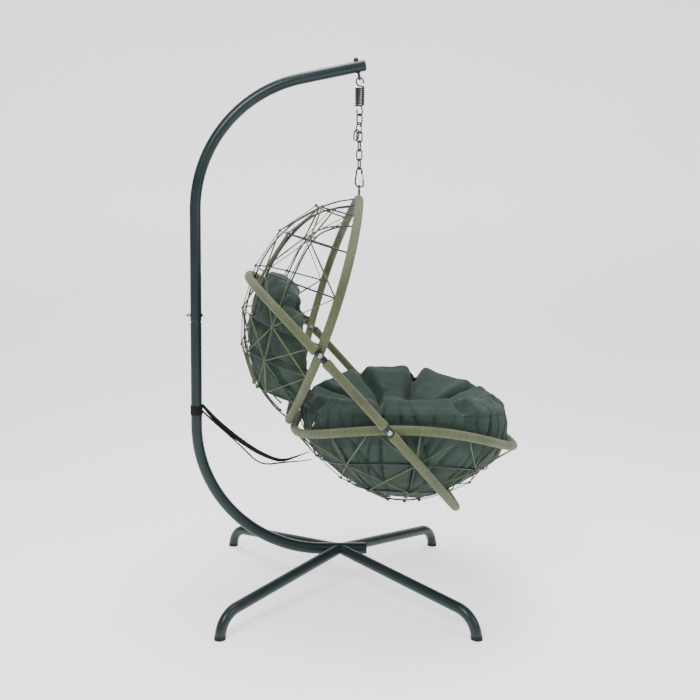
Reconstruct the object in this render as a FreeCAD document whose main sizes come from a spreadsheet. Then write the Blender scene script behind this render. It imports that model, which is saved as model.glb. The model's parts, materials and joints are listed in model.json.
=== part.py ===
import FreeCAD, Part
import math
import os

# Hanging egg chair: a C-shaped tube stand on a cross of four legs, and a two-ring
# wire basket chair with a diagonal brace loop, hung on a spring and a short chain.
# Frame: +X is the way the sitter faces, +Y is the sitter's left, +Z is up, and the
# origin is on the floor under the middle of the whole object. Millimetres.

Vector = FreeCAD.Vector
Placement = FreeCAD.Placement
Rotation = FreeCAD.Rotation
UP = Vector(0, 0, 1)
SIDE = Vector(0, 1, 0)
FRONT = Vector(1, 0, 0)

doc = FreeCAD.newDocument("HangingEggChair")
sheet = doc.addObject("Spreadsheet::Sheet", "Sizes")

DIMENSIONS = [
    # stand
    ("poleDiameter", 42), ("poleWall", 2), ("poleX", -576.8), ("jointHeight", 1013),
    ("lowerBend", 474), ("hubHeight", 148), ("hubX", -36.8), ("socketEnd", 61.2),
    ("upperBend", 490), ("upperBendHeight", 1427), ("armRise", 11.5), ("armEnd", 42.2),
    ("endTaper", 4), ("spigotLength", 62), ("jointBoltRadius", 4), ("jointBoltHeight", 1037),
    ("legDiameter", 38), ("legWall", 1.8), ("socketReach", 95), ("legSpigot", 38),
    ("footReach", 603), ("kneeHeight", 77), ("footAngle", 82), ("legBend", 82),
    ("footTubeEnd", 12), ("footRadius", 19.6), ("legScrewRadius", 3), ("legScrewReach", 77),
    # hanging hardware
    ("eyeX", 18.7), ("eyeWire", 4), ("eyeMean", 11), ("eyeDrop", 36), ("hangX", 28.1),
    ("springWire", 2.75), ("springMean", 16), ("springTop", 1875), ("springBottom", 1807),
    ("springTurns", 9.72), ("lowerHookTurn", 35), ("hookMean", 13.6), ("linkWire", 2.75), ("linkInner", 33.4),
    ("linkHalfWidth", 10.25), ("linkGap", 0.4), ("firstLinkTop", 1777.4),
    ("heightHookRise", 38), ("heightHookFoot", 12), ("heightHookTurn", 25),
    ("heightHookTilt", 8), ("spareX", -9.9), ("spareY", -0.8), ("spareRise", 6.0),
    ("spareTurn", -41.4), ("spareLean", -1.7), ("spareRoll", -10.4),
    ("carabinerWire", 3), ("carabinerRise", 70), ("carabinerFoot", 15), ("carabinerHead", 8.5),
    # chair rings
    ("tubeRadius", 12.5), ("wrapRadius", 15.5),
    ("hoodTopX", 27.2), ("hoodTopZ", 1472), ("hoodFootX", -230.8), ("hoodFootZ", 640),
    ("hoodHalfWidth", 480), ("hoodDepth", 290), ("wireRadius", 3), ("ropeRadius", 1.5),
    ("seatX", 194), ("seatHalfLength", 406.7), ("seatHalfWidth", 440), ("seatRingZ", 646.9),
    ("seatTilt", -24.4), ("seatSaddle", -58.2), ("basketFloor", 349),
    ("braceX", -130.8), ("braceZ", 948), ("braceAngle", 47.9), ("braceHalfWidth", 461),
    ("braceRear", -345), ("braceFront", 782), ("braceDip", 25), ("braceGap", 31),
    ("braceBoltRadius", 4), ("boltClearance", 0.2),
    # soft parts and strap
    ("cushionGap", 14.5), ("collarHeight", 34), ("collarWall", 2.2), ("collarZ", 680),
    ("webWidth", 20), ("webThick", 2),
]

for row, (alias, value) in enumerate(DIMENSIONS, start=1):
    sheet.set(f"A{row}", alias)
    sheet.set(f"B{row}", str(value))
    sheet.setAlias(f"B{row}", alias)
doc.recompute()


def size(alias):
    return float(sheet.get(alias))


subParts = []


def publish(feature, label):
    """Names a finished sub-part and puts it on the list to be written."""
    feature.Label = label
    subParts.append(feature)
    return feature


# ---------------------------------------------------------------- paths and tubes


def roundedPath(points, share=0.45, radius=None, mirroredEnds=False):
    """Straight runs joined by tangent arcs. mirroredEnds: the first and last runs go on
    past their ends by as much again, so the path can be mirrored into a smooth loop."""
    edges = []
    start = points[0]
    last = len(points) - 1
    for i in range(1, last):
        corner = points[i]
        back = points[i - 1] - corner
        ahead = points[i + 1] - corner
        backRun = back.Length * (2 if mirroredEnds and i == 1 else 1)
        aheadRun = ahead.Length * (2 if mirroredEnds and i == last - 1 else 1)
        turn = math.pi - back.getAngle(ahead)
        reach = share * min(backRun, aheadRun)
        if radius:
            reach = radius * math.tan(turn / 2)
        bendRadius = reach / math.tan(turn / 2)
        back.normalize()
        ahead.normalize()
        inward = (back + ahead).normalize()
        arcStart = corner + back * reach
        arcEnd = corner + ahead * reach
        arcMiddle = corner + inward * (bendRadius / math.cos(turn / 2) - bendRadius)
        if (arcStart - start).Length > 1e-4:
            edges.append(Part.LineSegment(start, arcStart).toShape())
        edges.append(Part.Arc(arcStart, arcMiddle, arcEnd).toShape())
        start = arcEnd
    if (points[last] - start).Length > 1e-4:
        edges.append(Part.LineSegment(start, points[last]).toShape())
    return Part.Wire(edges)


def pathObject(name, wire):
    path = doc.addObject("Part::Feature", name)
    path.Shape = wire
    return path


def sweepCircle(name, path, radiusExpression):
    """A round bar of the given radius along a path object."""
    first = path.Shape.OrderedEdges[0]
    start = first.valueAt(first.FirstParameter)
    ahead = first.tangentAt(first.FirstParameter)
    circle = doc.addObject("Part::Circle", name + "Section")
    circle.setExpression("Radius", radiusExpression)
    circle.Placement = Placement(start, Rotation(UP, ahead))
    sweep = doc.addObject("Part::Sweep", name)
    sweep.Sections = [circle]
    sweep.Spine = (path, [])
    sweep.Solid = True
    sweep.Frenet = False
    return sweep


def cut(name, base, *tools):
    tool = tools[0]
    if len(tools) > 1:
        tool = fuse(name + "Tools", *tools)
    feature = doc.addObject("Part::Cut", name)
    feature.Base = base
    feature.Tool = tool
    return feature


def fuse(name, *shapes):
    feature = doc.addObject("Part::MultiFuse", name)
    feature.Shapes = list(shapes)
    return feature


def bothSides(name, half):
    """Mirrors one half in the plane Y = 0 and joins the two."""
    mirrored = doc.addObject("Part::Mirroring", name + "Mirror")
    mirrored.Source = half
    mirrored.Normal = SIDE
    whole = fuse(name, half, mirrored)
    whole.Refine = True
    return whole


def cylinder(name, radiusExpression, length, start, direction):
    """A round bar from start, along direction."""
    bar = doc.addObject("Part::Cylinder", name)
    bar.setExpression("Radius", radiusExpression)
    bar.Height = length
    bar.Placement = Placement(start, Rotation(UP, direction))
    return bar


def bolt(name, radiusExpression, start, direction, length, headRadius, headHeight):
    """A bolt whose head stands at start, with its shank running along direction."""
    away = Vector(direction).normalize()
    shank = cylinder(name + "Shank", radiusExpression, length, start, away)
    head = doc.addObject("Part::Cone", name + "Head")
    head.Radius1 = headRadius * 0.62
    head.Radius2 = headRadius
    head.Height = headHeight
    head.Placement = Placement(start - away * headHeight, Rotation(UP, away))
    return fuse(name, shank, head)


def nut(name, boreExpression, start, direction, acrossFlats, height):
    """A hexagon nut whose near face is at start."""
    away = Vector(direction).normalize()
    prism = doc.addObject("Part::Prism", name + "Prism")
    prism.Polygon = 6
    prism.Circumradius = acrossFlats / math.sqrt(3)
    prism.Height = height
    prism.Placement = Placement(start, Rotation(UP, away))
    bore = cylinder(name + "Bore", boreExpression, height + 2, start - away, away)
    return cut(name, prism, bore)


def polePoints():
    """Centreline corners of both pole tubes, and the middle of the C's two bends."""
    x = size("poleX")
    lowerCentre = Vector(x + size("lowerBend"), 0, size("hubHeight") + size("lowerBend"))
    upperCentre = Vector(x + size("upperBend"), 0, size("upperBendHeight"))
    return x, lowerCentre, upperCentre


def arcEdge(centre, radius, fromAngle, toAngle):
    """An arc in the plane Y = 0; angles in degrees from +X towards +Z."""
    spots = []
    for angle in (fromAngle, (fromAngle + toAngle) / 2, toAngle):
        turn = math.radians(angle)
        spots.append(centre + Vector(math.cos(turn), 0, math.sin(turn)) * radius)
    return Part.Arc(*spots).toShape()


def armPoint(x):
    """A point on the top arm's centreline, by its X."""
    rise = math.radians(size("armRise"))
    _, _, centre = polePoints()
    foot = centre + Vector(-math.sin(rise), 0, math.cos(rise)) * size("upperBend")
    return Vector(x, 0, foot.z + (x - foot.x) * math.tan(rise))


def buildPole():
    x, lowerCentre, upperCentre = polePoints()
    joint = size("jointHeight")
    taper = size("endTaper")
    wall = size("poleWall")
    outer = "Sizes.poleDiameter / 2"
    inner = "Sizes.poleDiameter / 2 - Sizes.poleWall"

    lowerTop = Vector(x, 0, joint - taper)
    lowerWire = Part.Wire([
        Part.LineSegment(lowerTop, Vector(x, 0, lowerCentre.z)).toShape(),
        arcEdge(lowerCentre, size("lowerBend"), 180, 270),
        Part.LineSegment(
            Vector(lowerCentre.x, 0, size("hubHeight")), Vector(size("socketEnd"), 0, size("hubHeight"))
        ).toShape(),
    ])
    lowerPath = pathObject("lowerPolePath", lowerWire)
    lowerSkin = sweepCircle("lowerPoleSkin", lowerPath, outer)
    lowerBore = sweepCircle("lowerPoleBore", lowerPath, inner)
    shoulder = doc.addObject("Part::Cone", "lowerPoleShoulder")
    shoulder.setExpression("Radius1", outer)
    shoulder.setExpression("Radius2", "Sizes.poleDiameter / 2 - Sizes.endTaper * 0.8")
    shoulder.setExpression("Height", "Sizes.endTaper - 0.3")
    shoulder.Placement = Placement(lowerTop, Rotation())
    spigot = cylinder("lowerPoleSpigot", inner + " - 0.15", size("spigotLength"), lowerTop, UP)
    spigotBore = cylinder(
        "lowerPoleSpigotBore", inner + " - 2", size("spigotLength") + 4, lowerTop - UP * 2, UP
    )
    boltHole = cylinder(
        "poleBoltHole", "Sizes.jointBoltRadius + 0.1", 80,
        Vector(x - 40, 0, size("jointBoltHeight")), FRONT,
    )
    lowerSolid = fuse("lowerPoleSolid", lowerSkin, shoulder, spigot)
    publish(cut("lowerPole", lowerSolid, lowerBore, spigotBore, boltHole), "lower_pole")

    rise = size("armRise")
    upperStart = Vector(x, 0, joint + taper)
    bendEnd = 90 + rise
    armEnd = armPoint(size("armEnd"))
    turn = math.radians(bendEnd)
    armStart = upperCentre + Vector(math.cos(turn), 0, math.sin(turn)) * size("upperBend")
    upperWire = Part.Wire([
        Part.LineSegment(upperStart, Vector(x, 0, upperCentre.z)).toShape(),
        arcEdge(upperCentre, size("upperBend"), 180, bendEnd),
        Part.LineSegment(armStart, armEnd).toShape(),
    ])
    upperPath = pathObject("upperPolePath", upperWire)
    upperSkin = sweepCircle("upperPoleSkin", upperPath, outer)
    upperBore = sweepCircle("upperPoleBore", upperPath, inner)
    mouth = doc.addObject("Part::Cone", "upperPoleMouth")
    mouth.setExpression("Radius1", "Sizes.poleDiameter / 2 - Sizes.endTaper * 0.3")
    mouth.setExpression("Radius2", outer)
    mouth.setExpression("Height", "Sizes.endTaper")
    mouth.Placement = Placement(Vector(x, 0, joint), Rotation())
    mouthBore = cylinder("upperPoleMouthBore", inner, 2 * taper, Vector(x, 0, joint - 1), UP)
    eyeHole = cylinder(
        "armEyeHole", "Sizes.eyeWire + 0.1", 80, armPoint(size("eyeX")) - eyeAxis() * 40, eyeAxis()
    )
    upperSolid = fuse("upperPoleSolid", upperSkin, mouth)
    publish(
        cut("upperPole", upperSolid, upperBore, mouthBore, boltHole, eyeHole), "upper_pole"
    )

    # the joint's through bolt: domed head on the sitter's side, nut on the outside
    radius = size("poleDiameter") / 2
    headSide = Vector(x + radius, 0, size("jointBoltHeight"))
    publish(
        bolt("jointBolt", "Sizes.jointBoltRadius", headSide, FRONT * -1, 2 * radius + 15, 7.5, 5),
        "pole_joint_bolt",
    )
    nutSide = Vector(x - radius, 0, size("jointBoltHeight"))
    publish(
        nut("jointNut", "Sizes.jointBoltRadius", nutSide, FRONT * -1, 13, 6.5), "pole_joint_nut"
    )
    wallBore = radius - wall

    # a black plug closes the socket end, a domed plug of the pole's colour the arm's tip
    plugs = (
        ("hubCap", "hub_end_cap", Vector(size("socketEnd"), 0, size("hubHeight")), FRONT, 3, 3),
        ("tipCap", "pole_tip_cap", armEnd, armEnd - armPoint(0), 7, 6),
    )
    for name, label, place, direction, thick, rounding in plugs:
        axis = Vector(direction).normalize()
        lid = cylinder(name + "Lid", outer, thick, place, axis)
        plug = cylinder(name + "Plug", f"{wallBore - 0.1}", 16, place - axis * 16, axis)
        whole = fuse(name + "Solid", lid, plug)
        doc.recompute()
        rim = doc.addObject("Part::Fillet", name)
        rim.Base = whole
        face = place + axis * thick
        edges = []
        for number, edge in enumerate(whole.Shape.Edges, start=1):
            middle = edge.CenterOfMass if edge.Closed else None
            if middle is not None and (middle - face).Length < 0.5:
                edges.append((number, rounding - 0.4, rounding - 0.4))
        rim.Edges = edges
        publish(rim, label)


def eyeAxis():
    """The eye bolt hangs square to the rising arm."""
    rise = math.radians(size("armRise"))
    return Vector(math.sin(rise), 0, -math.cos(rise))


LEGS = [
    ("front_left", 45), ("rear_left", 135), ("rear_right", 225), ("front_right", 315),
]


def legPlacement(angle):
    return Placement(Vector(size("hubX"), 0, 0), Rotation(UP, angle))


def buildLegs():
    """Each leg slides onto its socket with a reduced end, runs out and slightly down,
    and bends to a short upright foot."""
    hub = Vector(0, 0, size("hubHeight"))
    footTurn = math.radians(size("footAngle"))
    kneeZ = size("kneeHeight")
    floorSpot = Vector(size("footReach"), 0, 0)
    footAxis = Vector(math.cos(footTurn), 0, -math.sin(footTurn))
    knee = floorSpot - footAxis * (kneeZ / math.sin(footTurn))
    outward = (knee - hub).normalize()
    legStart = hub + outward * (size("socketReach") + 0.3)
    footEnd = floorSpot - footAxis * (size("footTubeEnd") / math.sin(footTurn))
    outer = "Sizes.legDiameter / 2"
    inner = "Sizes.legDiameter / 2 - Sizes.legWall"
    across = outward.cross(SIDE).normalize()
    if across.z > 0:
        across = across * -1
    screwSpot = hub + outward * size("legScrewReach")
    skinRadius = size("legDiameter") / 2

    sockets = []
    socketBores = []
    for name, angle in LEGS:
        placement = legPlacement(angle)
        wire = roundedPath([legStart, knee, footEnd], radius=size("legBend"))
        path = pathObject(f"legPath_{name}", wire)
        skin = sweepCircle(f"legSkin_{name}", path, outer)
        bore = sweepCircle(f"legBore_{name}", path, inner)
        spigotStart = hub + outward * (size("socketReach") - size("legSpigot"))
        spigot = cylinder(
            f"legSpigot_{name}", inner + " - 0.1", size("legSpigot") + 4, spigotStart, outward
        )
        spigotBore = cylinder(
            f"legSpigotBore_{name}", inner + " - 1.9", size("legSpigot") + 9,
            spigotStart - outward * 2, outward,
        )
        screwHole = cylinder(
            f"legScrewHole_{name}", "Sizes.legScrewRadius + 0.1", 26, screwSpot, across
        )
        solid = fuse(f"legSolid_{name}", skin, spigot)
        leg = cut(f"leg_{name}", solid, bore, spigotBore, screwHole)
        leg.Placement = placement
        publish(leg, f"leg_{name}")

        # rubber plug, cut off level where it stands on the floor
        top = floorSpot - footAxis * (size("footTubeEnd") / math.sin(footTurn))
        tread = cylinder(f"footTread_{name}", "Sizes.footRadius", 40, top, footAxis)
        stem = cylinder(f"footStem_{name}", inner + " - 1.4", 16, top - footAxis * 12, footAxis)
        rubber = fuse(f"footSolid_{name}", tread, stem)
        above = doc.addObject("Part::Box", f"footRoom_{name}")
        above.Length = 120
        above.Width = 120
        above.Height = 120
        above.Placement = Placement(floorSpot - Vector(60, 60, 0), Rotation())
        foot = doc.addObject("Part::Common", f"foot_{name}")
        foot.Base = rubber
        foot.Tool = above
        foot.Placement = placement
        publish(foot, f"rubber_foot_{name}")

        socket = cylinder(f"socket_{name}", outer, size("socketReach"), hub, outward)
        socket.Placement = placement.multiply(socket.Placement)
        socketBore = cylinder(
            f"socketBore_{name}", inner, size("socketReach") + 5, hub, outward
        )
        socketBore.Placement = placement.multiply(socketBore.Placement)
        socketHole = cylinder(
            f"socketHole_{name}", "Sizes.legScrewRadius + 0.1", 26, screwSpot, across
        )
        socketHole.Placement = placement.multiply(socketHole.Placement)
        sockets.append(socket)
        socketBores.extend([socketBore, socketHole])

    # the four sockets are welded to the pole's straight end, so they stop at its skin
    poleRoom = cylinder(
        "socketPoleRoom", "Sizes.poleDiameter / 2 + 0.02", 400,
        Vector(size("hubX") - 200, 0, size("hubHeight")), FRONT,
    )
    cross = fuse("socketSolid", *sockets)
    publish(cut("socketCross", cross, *socketBores, poleRoom), "leg_socket_cross")

    # one screw per leg from underneath, through the socket and the leg's reduced end
    screws = []
    for name, angle in LEGS:
        start = screwSpot + across * (skinRadius + 0.2)
        screw = bolt(f"legScrew_{name}", "Sizes.legScrewRadius", start, across * -1, 12, 6, 3.5)
        screw.Placement = legPlacement(angle)
        screws.append(screw)
    group = doc.addObject("Part::Compound", "legScrews")
    group.Links = screws
    publish(group, "leg_screws")


# ---------------------------------------------------------------- hanging hardware


def buildEyeBolt():
    place = Placement(armPoint(size("eyeX")), Rotation(Vector(0, 0, -1), eyeAxis()))
    radius = size("poleDiameter") / 2
    shank = cylinder(
        "eyeShank", "Sizes.eyeWire", radius + size("eyeDrop") - size("eyeMean") + 9,
        Vector(0, 0, -(size("eyeDrop") - size("eyeMean"))), UP,
    )
    ring = doc.addObject("Part::Torus", "eyeRing")
    ring.setExpression("Radius1", "Sizes.eyeMean")
    ring.setExpression("Radius2", "Sizes.eyeWire")
    ring.Placement = Placement(Vector(0, 0, -size("eyeDrop")), Rotation(SIDE, 90))
    collar = cylinder("eyeCollar", "Sizes.eyeWire * 1.9", 2.5, Vector(0, 0, -radius - 2.6), UP)
    whole = fuse("eyeBolt", shank, ring, collar)
    whole.Placement = place
    publish(whole, "eye_bolt")

    prism = doc.addObject("Part::Cylinder", "domeNutBase")
    prism.Radius = 9
    prism.Height = 5
    prism.Placement = Placement(Vector(0, 0, radius), Rotation())
    dome = doc.addObject("Part::Sphere", "domeNutDome")
    dome.Radius = 9
    dome.Angle1 = 0
    dome.Placement = Placement(Vector(0, 0, radius + 5), Rotation())
    solid = fuse("domeNutSolid", prism, dome)
    bore = cylinder("domeNutBore", "Sizes.eyeWire", 9.5, Vector(0, 0, radius - 0.2), UP)
    domeNut = cut("domeNut", solid, bore)
    domeNut.Placement = place
    publish(domeNut, "eye_bolt_nut")


def buildSpring():
    """A tension spring with an open round hook at each end, all one wire."""
    middle = (size("springTop") + size("springBottom")) / 2
    coil = size("springMean")
    hook = size("hookMean")
    eyeBottom = armPoint(size("eyeX")) + eyeAxis() * (size("eyeDrop") + size("eyeMean"))
    hookTop = eyeBottom.z + size("eyeWire") + size("springWire") + size("linkGap")
    rise = (size("springTop") - size("springBottom")) / 2
    centreRise = hookTop - hook - middle
    upper = []
    for degrees in range(-35, 216, 25):
        turn = math.radians(degrees)
        upper.append(Vector(hook * math.cos(turn), 0, centreRise + hook * math.sin(turn)))
    upper.append(Vector(-5.5, -5, rise + 5.2))
    upper.append(Vector(4.5, -12.5, rise + 1.8))
    firstAngle = -39.6
    coilTurns = size("springTurns") + size("lowerHookTurn") / 360
    steps = int(round(coilTurns * 12))
    coilPoints = []
    for i in range(steps + 1):
        turn = math.radians(firstAngle + 360 * coilTurns * i / steps)
        height = rise - 2 * rise * i / steps
        coilPoints.append(Vector(coil * math.cos(turn), coil * math.sin(turn), height))
    swing = Rotation(UP, size("lowerHookTurn"))
    lower = [swing.multVec(Vector(-p.x, p.y, -p.z)) for p in reversed(upper)]
    points = upper + coilPoints + lower
    centre = Vector(size("hangX"), 0, middle)
    wire = roundedPath([p + centre for p in points])
    spring = sweepCircle("spring", pathObject("springPath", wire), "Sizes.springWire")
    publish(spring, "spring")
    return middle - (hookTop - middle)


def linkShape(topCentre, sideways, lean=0.0, roll=0.0):
    """A chain link that hangs from the middle of its top wire. sideways turns it
    about the vertical; lean swings it in its own plane and roll out of it; all in degrees."""
    half = size("linkHalfWidth")
    length = size("linkInner") + 2 * size("linkWire")
    drop = length - 2 * half
    left = Vector(-half, 0, -half)
    right = Vector(half, 0, -half)
    low = Vector(0, 0, -drop)
    wire = Part.Wire([
        Part.Arc(left, Vector(0, 0, 0), right).toShape(),
        Part.LineSegment(right, right + low).toShape(),
        Part.Arc(right + low, Vector(0, 0, -length), left + low).toShape(),
        Part.LineSegment(left + low, left).toShape(),
    ])
    profile = Part.Wire(Part.Circle(right, Vector(0, 0, -1), size("linkWire")).toShape())
    solid = wire.makePipeShell([profile], True, False)
    upright = Rotation(UP, sideways).multiply(Rotation(SIDE, lean))
    turned = Placement(topCentre, upright.multiply(Rotation(FRONT, roll)))
    solid.Placement = turned
    return solid


def solidFeature(name, shape, label):
    feature = doc.addObject("Part::Feature", name)
    feature.Shape = shape
    return publish(feature, label)


def carabinerPath(rise, foot, head, gateLow, gateHigh):
    """A pear-shaped snap hook's open loop, wide end down, gate side towards +X."""
    footTop = 0.42 * rise
    points = [
        Vector(foot - (foot - head) * 0.02, 0, gateLow), Vector(foot, 0, 2),
        Vector(foot * 0.55, 0, -foot * 0.02), Vector(-foot * 0.55, 0, -foot * 0.02),
        Vector(-foot, 0, footTop * 0.5), Vector(-head, 0, rise - head * 0.8),
        Vector(-head * 0.4, 0, rise + 0.3), Vector(head * 0.4, 0, rise + 0.3),
        Vector(head, 0, rise - head * 0.8), Vector(head + 0.5, 0, gateHigh),
    ]
    return points


def buildCarabiner(name, labels, top, rise, foot, head, wire, turned, tilt):
    """Body, hinge pin and sprung gate. The gate is the straight bar between the nose
    near the wide end and the pin near the narrow end. It hangs from its top."""
    gateLow = 0.40 * rise
    gateHigh = 0.80 * rise
    points = carabinerPath(rise, foot, head, gateLow, gateHigh)
    loop = roundedPath(points)
    edge = loop.OrderedEdges[0]
    start = edge.valueAt(edge.FirstParameter)
    profile = Part.Wire(Part.Circle(start, edge.tangentAt(edge.FirstParameter), wire).toShape())
    frame = loop.makePipeShell([profile], True, False)
    pinSpot = Vector(head + 1.4, 0, gateHigh - 2.2 * wire)
    cheekSize = 2.4 * wire
    for side in (-1, 1):
        cheek = Part.makeBox(cheekSize, wire * 0.42, 3.6 * wire)
        offset = wire * 0.58 if side > 0 else -wire
        cheek.translate(Vector(pinSpot.x - cheekSize / 2, offset, pinSpot.z - wire))
        frame = frame.fuse(cheek)
    pin = Part.makeCylinder(
        0.32 * wire, 2.6 * wire, pinSpot - Vector(0, 1.3 * wire, 0), SIDE
    )
    frame = frame.cut(pin)
    nose = Vector(foot - 0.4, 0, gateLow + 0.25 * wire)
    barTop = pinSpot + Vector(0, 0, 0.55 * wire)
    along = nose - barTop
    bar = Part.makeCylinder(0.52 * wire, along.Length, barTop, along)
    knob = Part.makeSphere(0.8 * wire, nose - along * 0.3)
    gate = bar.fuse(knob)
    gate = gate.cut(Part.makeCylinder(0.345 * wire, 20, pinSpot - Vector(0, 10, 0), SIDE))
    frame = frame.cut(Part.makeSphere(1.08 * wire, nose + Vector(0, 0, 0.2 * wire)))
    hang = Placement(top, Rotation(UP, turned).multiply(Rotation(SIDE, tilt)))
    place = hang.multiply(Placement(Vector(0, 0, -rise), Rotation()))
    for piece, label in zip((frame, gate, pin), labels):
        piece = piece.removeSplitter()
        piece.Placement = place.multiply(piece.Placement)
        solidFeature(f"{name}_{label}", piece, label)
    return place.multVec(pinSpot)


def buildChain(hookBottom):
    """Link, shortening hook with the spare link, four links, snap hook, chair eye."""
    x = size("hangX")
    wire = size("linkWire")
    gap = size("linkGap")
    inner = size("linkInner")
    top = hookBottom + size("springWire") + wire + gap
    solidFeature("linkOne", linkShape(Vector(x, 0, top), -35), "chain_link_top")

    hookWire = 2.5
    hookTop = Vector(x, 0, top - inner - wire + hookWire + 6 * gap)
    hookRise = size("heightHookRise")
    hookFoot = size("heightHookFoot")
    tilt = size("heightHookTilt")
    lean = math.radians(tilt)
    pinA = buildCarabiner(
        "heightHook", ("height_hook", "height_hook_gate", "height_hook_pin"),
        hookTop, hookRise, hookFoot, 7, hookWire, size("heightHookTurn"), tilt,
    )
    # the tilted hook's lowest wire carries the chain; the spare link hangs on its low corner
    low = 0.5 * hookFoot
    lowestWire = hookTop.z - hookRise * math.cos(lean) - low * math.sin(lean)
    linkTop = lowestWire + wire + hookWire + gap
    spare = Vector(x + size("spareX"), size("spareY"), linkTop + size("spareRise"))
    hung = linkShape(spare, size("spareTurn"), size("spareLean"), size("spareRoll"))
    solidFeature("spareLink", hung, "spare_link")

    lowerLinks = ("chain_link_hook", "chain_link_upper", "chain_link_middle", "chain_link_lower")
    for number, label in enumerate(lowerLinks):
        link = linkShape(Vector(x, 0, linkTop), 62 if number % 2 else -28)
        solidFeature(f"link_{label}", link, label)
        linkTop = linkTop - inner + gap
    lastBottom = linkTop - 2 * wire - gap
    rise = size("carabinerRise")
    carabinerTop = Vector(x, 0, lastBottom + wire + size("carabinerWire") + 2 * gap)
    footZ = carabinerTop.z - rise
    pinB = buildCarabiner(
        "snapHook", ("carabiner", "carabiner_gate", "carabiner_pin"),
        carabinerTop, rise, size("carabinerFoot"), size("carabinerHead"),
        size("carabinerWire"), 0, 0,
    )
    print("height hook pin", [round(v, 3) for v in pinA], "carabiner pin", [round(v, 3) for v in pinB])
    print("spring hook bottom", round(hookBottom, 2), "carabiner foot", round(footZ, 2))
    return footZ


def buildHangingEye(carabinerFoot):
    """A welded eye stands up out of the hood ring's top."""
    mean = 8
    wire = 3
    top = carabinerFoot - 0.3 + size("carabinerWire") + wire + 0.3 + 0.3
    centre = Vector(size("hangX"), 0, top - mean)
    ring = doc.addObject("Part::Torus", "hangRing")
    ring.Radius1 = mean
    ring.Radius2 = wire
    ring.Placement = Placement(centre, Rotation(SIDE, 90))
    foot = Vector(size("hangX"), 0, size("hoodTopZ") + 6)
    shank = cylinder("hangShank", "4.2", centre.z - mean - foot.z + 1, foot, UP)
    halfRoom = sweepCircle("hangRoomHalf", doc.getObject("hoodPath"), "Sizes.tubeRadius")
    tubeRoom = bothSides("hangRoom", halfRoom)
    publish(cut("hangingEye", fuse("hangSolid", ring, shank), tubeRoom), "hanging_eye")


# ---------------------------------------------------------------- the chair's rings


def hoodDirection():
    top = Vector(size("hoodTopX"), 0, size("hoodTopZ"))
    foot = Vector(size("hoodFootX"), 0, size("hoodFootZ"))
    along = foot - top
    length = along.Length
    along.normalize()
    backward = Vector(along.z, 0, -along.x)
    return top, along, backward, length


def hoodWidth(share):
    """Half-width of the hood ring, share = 0 at its top and 1 at its foot."""
    share = min(max(share, 0.0), 1.0)
    curve = math.sin(math.pi * share ** 0.8) ** 0.9
    return math.hypot(size("hoodHalfWidth") * curve, 30)


def hoodDepth(share):
    """How far the basket's middle stands back from the ring's plane."""
    share = min(max(share, 0.002), 0.998)
    return size("hoodDepth") * (1 - abs(2 * share - 1) ** 2.3) ** 0.72


def hoodPoint(share, across):
    """A point of the back basket: share along the ring's chord, across from -1 to 1.
    Each level is an arc of a circle from one side of the ring to the other."""
    top, along, backward, length = hoodDirection()
    width = hoodWidth(share)
    depth = hoodDepth(share)
    radius = (width * width + depth * depth) / (2 * depth)
    side = width * across
    set_back = math.sqrt(max(radius * radius - side * side, 0)) - (radius - depth)
    return top + along * (share * length) + backward * set_back + SIDE * side


def surfaceNormal(pointAt, u, v, step=0.004):
    alongU = pointAt(u + step, v) - pointAt(u - step, v)
    alongV = pointAt(u, v + step) - pointAt(u, v - step)
    return alongU.cross(alongV).normalize()


def ringReach(share, inset):
    """The across value on a level's arc that lies inset short of the ring's centre."""
    width = hoodWidth(share)
    depth = hoodDepth(share)
    radius = (width * width + depth * depth) / (2 * depth)
    edge = math.asin(min(width / radius, 1))
    return math.sin(edge - inset / radius) / math.sin(edge)


def hoodInside(share, across, offset):
    """hoodPoint moved towards the sitter by offset."""
    point = hoodPoint(share, across)
    normal = surfaceNormal(hoodPoint, share, across)
    top, along, _, length = hoodDirection()
    if normal.dot(top + along * (length / 2) - point) < 0:
        normal = normal * -1
    return point + normal * offset


def seatRingPoint(angle):
    """The seat ring's centreline: an oval with a saddle's rise at both sides."""
    turn = math.radians(angle)
    height = size("seatRingZ") + size("seatTilt") * math.cos(turn)
    height += size("seatSaddle") * math.cos(2 * turn)
    x = size("seatX") + size("seatHalfLength") * math.cos(turn)
    return Vector(x, -size("seatHalfWidth") * math.sin(turn), height)


def bowlPoint(angle, share):
    """A point of the seat basket; share is 1 at the ring and 0 at the bowl's bottom."""
    rim = seatRingPoint(angle)
    floor = size("basketFloor")
    x = size("seatX") + (rim.x - size("seatX")) * share
    return Vector(x, rim.y * share, floor + (rim.z - floor) * share * share)


def bowlReach(angle, inset):
    """The share on the bowl's wall that lies inset short of the ring's centre."""
    rim = seatRingPoint(angle)
    across = math.hypot(rim.x - size("seatX"), rim.y)
    slope = math.hypot(across, 2 * (rim.z - size("basketFloor")))
    return 1 - inset / slope


def bowlInside(angle, share, offset):
    point = bowlPoint(angle, share)
    normal = surfaceNormal(bowlPoint, angle, share, 0.01)
    if normal.z < 0:
        normal = normal * -1
    return point + normal * offset


def braceAxes():
    tilt = math.radians(size("braceAngle"))
    along = Vector(math.cos(tilt), 0, -math.sin(tilt))
    under = Vector(-math.sin(tilt), 0, -math.cos(tilt))
    return Vector(size("braceX"), 0, size("braceZ")), along, under


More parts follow.
